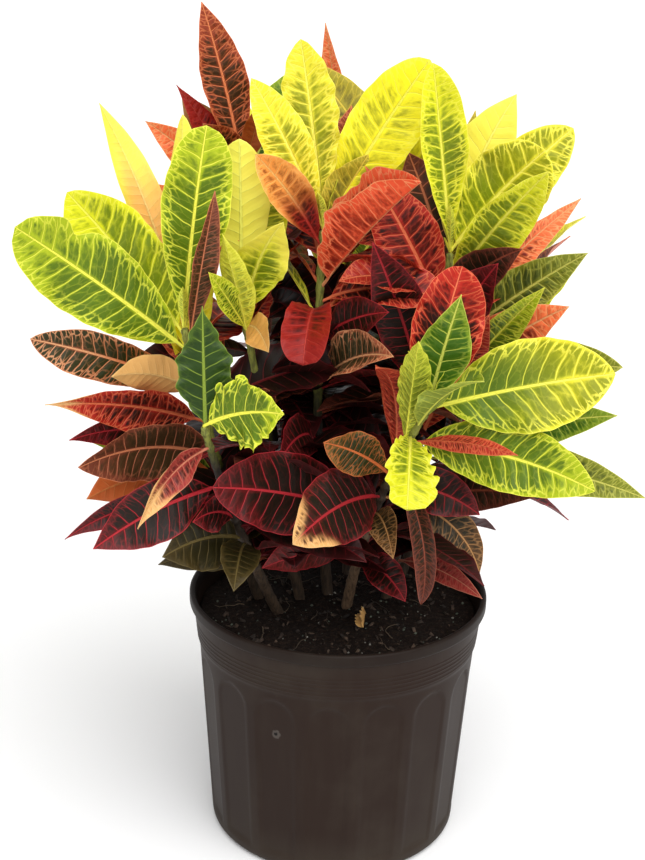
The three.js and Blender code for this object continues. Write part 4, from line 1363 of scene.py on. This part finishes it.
def root_mesh(count, draws):
    """Fine pale roots that lie on the soil, each a short wandering tube."""
    steps = 18
    roots, tints = [], []
    for _ in range(count):
        start = np.column_stack(scattered(1, 105, draws))
        bearing = draws.uniform(0, 2 * np.pi) + np.cumsum(draws.normal(0, 0.22, steps))
        stride = draws.uniform(1.2, 2.6)
        path = start + np.stack([np.cumsum(np.cos(bearing)), np.cumsum(np.sin(bearing))], -1) * stride
        path *= np.minimum(1, 122 / np.linalg.norm(path, axis=1, keepdims=True))
        rise = 1.3 * np.abs(np.sin(np.linspace(0, 2 * np.pi, steps) + draws.uniform(0, 6)))
        path = np.column_stack([path, soil_height(*path.T) + 0.7 + rise])
        radii = (draws.uniform(0.25, 0.6) * np.linspace(1, 0.35, steps))[:, None]
        roots.append(tube(path, radii, 5))
        tints.append(np.tile(np.array([0.13, 0.09, 0.055]) * draws.uniform(0.3, 1.2), (len(roots[-1][0]), 1)))
    points, *faces = joined(roots)
    return put_mesh("root_hairs", points, faces, values={"tint": np.concatenate(tints)})


class CROTON_OT_soil(bpy.types.Operator):
    """Adds the potting mix with its grains, bark chips and fine roots"""

    bl_idname = "croton.add_soil"
    bl_label = "Add soil"

    def execute(self, context):
        settings = context.scene.croton_soil
        finish_piece(soil_mesh(), soil_material(settings), "potting_mix", "soil")
        litter = litter_material()
        draws = np.random.default_rng(SOIL_SEED)
        kinds = ((grain_mesh, settings.grains), (chip_mesh, settings.chips), (root_mesh, settings.roots))
        for make, count in kinds:
            finish_piece(make(count, draws), litter, "potting_mix")
        return {"FINISHED"}


# The stems


def stem_mesh(stem, leaves):
    """A tube along the stem's curve. Its radius falls evenly, swells at each leaf's scar and is broken by
    long ridges of bark below the split, and it closes in a round top. The bark has painted shade: it is
    darker higher up, and darker still on every stem but the one trunk that shows, which is left lit."""
    share = np.linspace(0, 1, STEM_RINGS)
    angle = np.linspace(0, 2 * np.pi, STEM_SIDES, endpoint=False)
    radius = STEM_FOOT_RADIUS + (STEM_TOP_RADIUS - STEM_FOOT_RADIUS) * share
    scars = sum(0.9 * np.exp(-(((share - leaf.place) / 0.008) ** 2)) for leaf in leaves)
    rings = 0.35 * np.abs(np.sin(share * 60)) ** 12
    radius = (radius + np.minimum(scars, 1.2) + rings)[:, None]
    share = share[:, None]
    bark = smooth(stem.split + 0.05, stem.split - 0.15, share)
    ridges = 0.25 * np.sin(5 * angle + 9 * np.sin(share * 14)) + 0.18 * np.sin(9 * angle - share * 40)
    radii = (radius + bark * ridges) * np.sqrt(np.clip((1.0001 - share) / 0.01, 0, 1))
    path = curve_points(stem, share[:, 0])
    settings = bpy.context.scene.croton_stems
    old, young = (np.array(colour) for colour in (settings.bark, settings.green))
    # Painted shade on the bark: darker higher up, and 0.4 times as dark on every stem but the one lit trunk
    old = old * (1 - 0.7 * smooth(SOIL_TOP + 70, SOIL_TOP + 150, path[:, 2:]))
    old = old * (1 if stem.name == LIT_TRUNK else 0.4)
    tint = old * bark + young * (1 - bark)
    tint = np.concatenate([np.repeat(tint, STEM_SIDES, 0), tint[[0, -1]]])
    points, *faces = tube(path, radii, STEM_SIDES)
    return put_mesh(f"{stem.name}_stem", points, faces, values={"tint": tint})


def stem_material():
    """Bark that darkens in its furrows, turning to smooth green."""
    s = Surface("croton_stem")
    place = s.place()
    streaks = s.noise(s.stretched(place, 1, 1, 0.2), 420.0, 4.0, 0.65)
    patches = s.noise(place, 60.0, 3.0)
    tint = s.attribute("tint")
    colour = s.mix(streaks.above(0.35, 0.6) * (0.55 + patches * 0.5), s.scaled(tint, 0.35), tint)
    s.set(Base_Color=colour, Roughness=0.7)
    s.bump(streaks, 0.0007)
    return s.material


def bud_leaves(stem):
    """Three small leaves that stand close round the top of a stem."""
    top = curve_points(stem, 1.0)
    draw = Draws(BUD_SEED + len(stem.name))
    leaves = []
    for k, look in enumerate(("lime", "gold", "lime")):
        azimuth, rise, length = 120 * k + 40 * draw(), 62 + 20 * draw(), 34 + 18 * draw()
        leaves.append(Leaf(1.0, top, azimuth, rise, length, 11, 10, 20 * draw(), 30, 0.5, look=look))
    return leaves


class CROTON_OT_stems(bpy.types.Operator):
    """Adds the woody stems"""

    bl_idname = "croton.add_stems"
    bl_label = "Add stems"

    def execute(self, context):
        leaves = grown_leaves()
        bark = stem_material()
        for stem in STEMS:
            nodes = [f"stem_{stem.name}_lower", f"stem_{stem.name}_crown"]
            theirs = [leaf for leaf in leaves if leaf.node in nodes]
            finish_piece(stem_mesh(stem, theirs), bark, "old_leaf", *nodes)
        return {"FINISHED"}


class CROTON_OT_leaves(bpy.types.Operator):
    """Adds every leaf of the plant, some to a piece, and the buds"""

    bl_idname = "croton.add_leaves"
    bl_label = "Add leaves"

    def execute(self, context):
        material = leaf_material()
        leaves = grown_leaves()
        for stem_at, stem in enumerate(STEMS):
            for end in ("lower", "crown"):
                node = f"stem_{stem.name}_{end}"
                theirs = [leaf for leaf in leaves if leaf.node == node]
                count = -(-len(theirs) // LEAVES_PER_PIECE)
                for k in range(count):
                    seed = STEM_SEED_STEP * stem_at + PIECE_SEED_STEP * k
                    piece = leaf_piece(f"{stem.name}_{end}_leaves_{k + 1}", theirs[k::count], seed)
                    finish_piece(piece, material, "young_leaf" if end == "crown" else "old_leaf", node)
        buds = [leaf for stem in STEMS if not stem.lobed for leaf in bud_leaves(stem)]
        finish_piece(leaf_piece("buds", buds, BUDS_MESH_SEED), material, "young_leaf")
        return {"FINISHED"}


class CROTON_OT_inner_leaves(bpy.types.Operator):
    """Adds the small dark and red leaves inside the plant"""

    bl_idname = "croton.add_inner_leaves"
    bl_label = "Add inner leaves"

    def execute(self, context):
        material = bpy.data.materials["croton_leaf"]
        for i, stem in enumerate(STEMS):
            leaves = inner_leaves(stem, INNER_SEED + i)
            piece = leaf_piece(f"{stem.name}_inner_leaves", leaves, INNER_MESH_SEED + PIECE_SEED_STEP * i)
            finish_piece(piece, material, "old_leaf")
        return {"FINISHED"}


class CROTON_OT_dry_leaf(bpy.types.Operator):
    """Adds the dry curled leaf whose stalk is stuck in the soil"""

    bl_idname = "croton.add_dry_leaf"
    bl_label = "Add dry leaf"

    def execute(self, context):
        aim = aimed_at(DRY_FOOT, DRY_TIP, DRY_DROOP)
        leaf = Leaf(0, DRY_FOOT, *aim, 16, DRY_DROOP, 60, 50, 0.7, look="tan", mark="wavy")
        piece = leaf_piece("fallen_leaf", [leaf], DRY_MESH_SEED)
        finish_piece(piece, bpy.data.materials["croton_leaf"], "dry_leaf", "dry_leaf")
        return {"FINISHED"}


# The stage

# In metres: the middle of the view, and the point that the light comes from. Its spread is in degrees
VIEW_MIDDLE = (-0.0184, 0, 0.397)
LIGHT_FROM = (0.35, -0.8, 1.15)
LIGHT_SPREAD = 70


def lamp(strength):
    """A wide, even light from above and a little in front, with soft shadows."""
    light = bpy.data.lights.new("overhead", "SUN")
    light.energy = strength
    light.angle = np.radians(LIGHT_SPREAD)
    holder = bpy.data.objects.new("overhead", light)
    holder.rotation_euler = Vector(LIGHT_FROM).to_track_quat("Z", "Y").to_euler()
    bpy.context.scene.collection.objects.link(holder)


def pale_floor(colour):
    """A wide plane just below the pot, which isn't part of the object."""
    bpy.ops.mesh.primitive_plane_add(size=60, location=(0, 0, -0.0005))
    floor = bpy.context.object
    floor.name = "floor"
    s = Surface("pale_floor")
    s.set(Base_Color=(*colour, 1), Roughness=0.9)
    floor.data.materials.append(s.material)


def soft_sky(strength):
    """White light that comes evenly from all round."""
    world = bpy.data.worlds.new("soft_sky")
    world.use_nodes = True
    sky = world.node_tree.nodes["Background"]
    sky.inputs["Color"].default_value = (1, 1, 1, 1)
    sky.inputs["Strength"].default_value = strength
    bpy.context.scene.world = world


def add_camera(settings):
    """A camera that looks along +Y and down by its elevation, and leans about its line of sight."""
    camera = bpy.data.objects.new("camera", bpy.data.cameras.new("camera"))
    bpy.context.scene.collection.objects.link(camera)
    camera.data.lens = settings.lens
    camera.data.sensor_width = 36
    camera.data.clip_start = 0.05
    camera.data.clip_end = 100
    back = Vector((0, -np.cos(settings.elevation), np.sin(settings.elevation)))
    right = Vector((1, 0, 0))
    turn = Matrix((right, back.cross(right), back)).transposed()
    place = Matrix.Translation(Vector(VIEW_MIDDLE) + back * settings.distance)
    camera.matrix_world = place @ turn.to_4x4() @ Matrix.Rotation(settings.lean, 4, "Z")
    bpy.context.scene.camera = camera


class CROTON_OT_stage(bpy.types.Operator):
    """Adds the pale floor, the soft lights and the camera"""

    bl_idname = "croton.add_stage"
    bl_label = "Add stage"

    def execute(self, context):
        settings = context.scene.croton_stage
        context.scene.view_settings.view_transform = "Standard"
        pale_floor(settings.floor)
        soft_sky(settings.ambient)
        lamp(settings.overhead)
        add_camera(settings)
        return {"FINISHED"}


class CROTON_PT_panel(bpy.types.Panel):
    """The sidebar panel that lists the pieces and their settings"""

    bl_idname = "CROTON_PT_panel"
    bl_label = "Potted croton"
    bl_space_type = "VIEW_3D"
    bl_region_type = "UI"
    bl_category = "Croton"

    def draw(self, context):
        for operator in OPERATORS:
            self.layout.operator(operator.bl_idname)
        for name in SETTINGS:
            box = self.layout.box()
            settings = getattr(context.scene, name)
            for key in settings.__annotations__:
                box.prop(settings, key)


OPERATORS = (
    CROTON_OT_pot,
    CROTON_OT_soil,
    CROTON_OT_stems,
    CROTON_OT_leaves,
    CROTON_OT_inner_leaves,
    CROTON_OT_dry_leaf,
    CROTON_OT_stage,
)


def register():
    for name, group in SETTINGS.items():
        bpy.utils.register_class(group)
        setattr(bpy.types.Scene, name, bpy.props.PointerProperty(type=group))
    for part in (*OPERATORS, CROTON_PT_panel):
        bpy.utils.register_class(part)


def unregister():
    for part in reversed((*OPERATORS, CROTON_PT_panel)):
        bpy.utils.unregister_class(part)
    for name, group in reversed(SETTINGS.items()):
        delattr(bpy.types.Scene, name)
        bpy.utils.unregister_class(group)


def main():
    register()
    bpy.ops.croton.add_stage()
    bpy.ops.croton.add_pot()
    bpy.ops.croton.add_soil()
    bpy.ops.croton.add_stems()
    bpy.ops.croton.add_leaves()
    bpy.ops.croton.add_inner_leaves()
    bpy.ops.croton.add_dry_leaf()


if __name__ == "__main__":
    main()
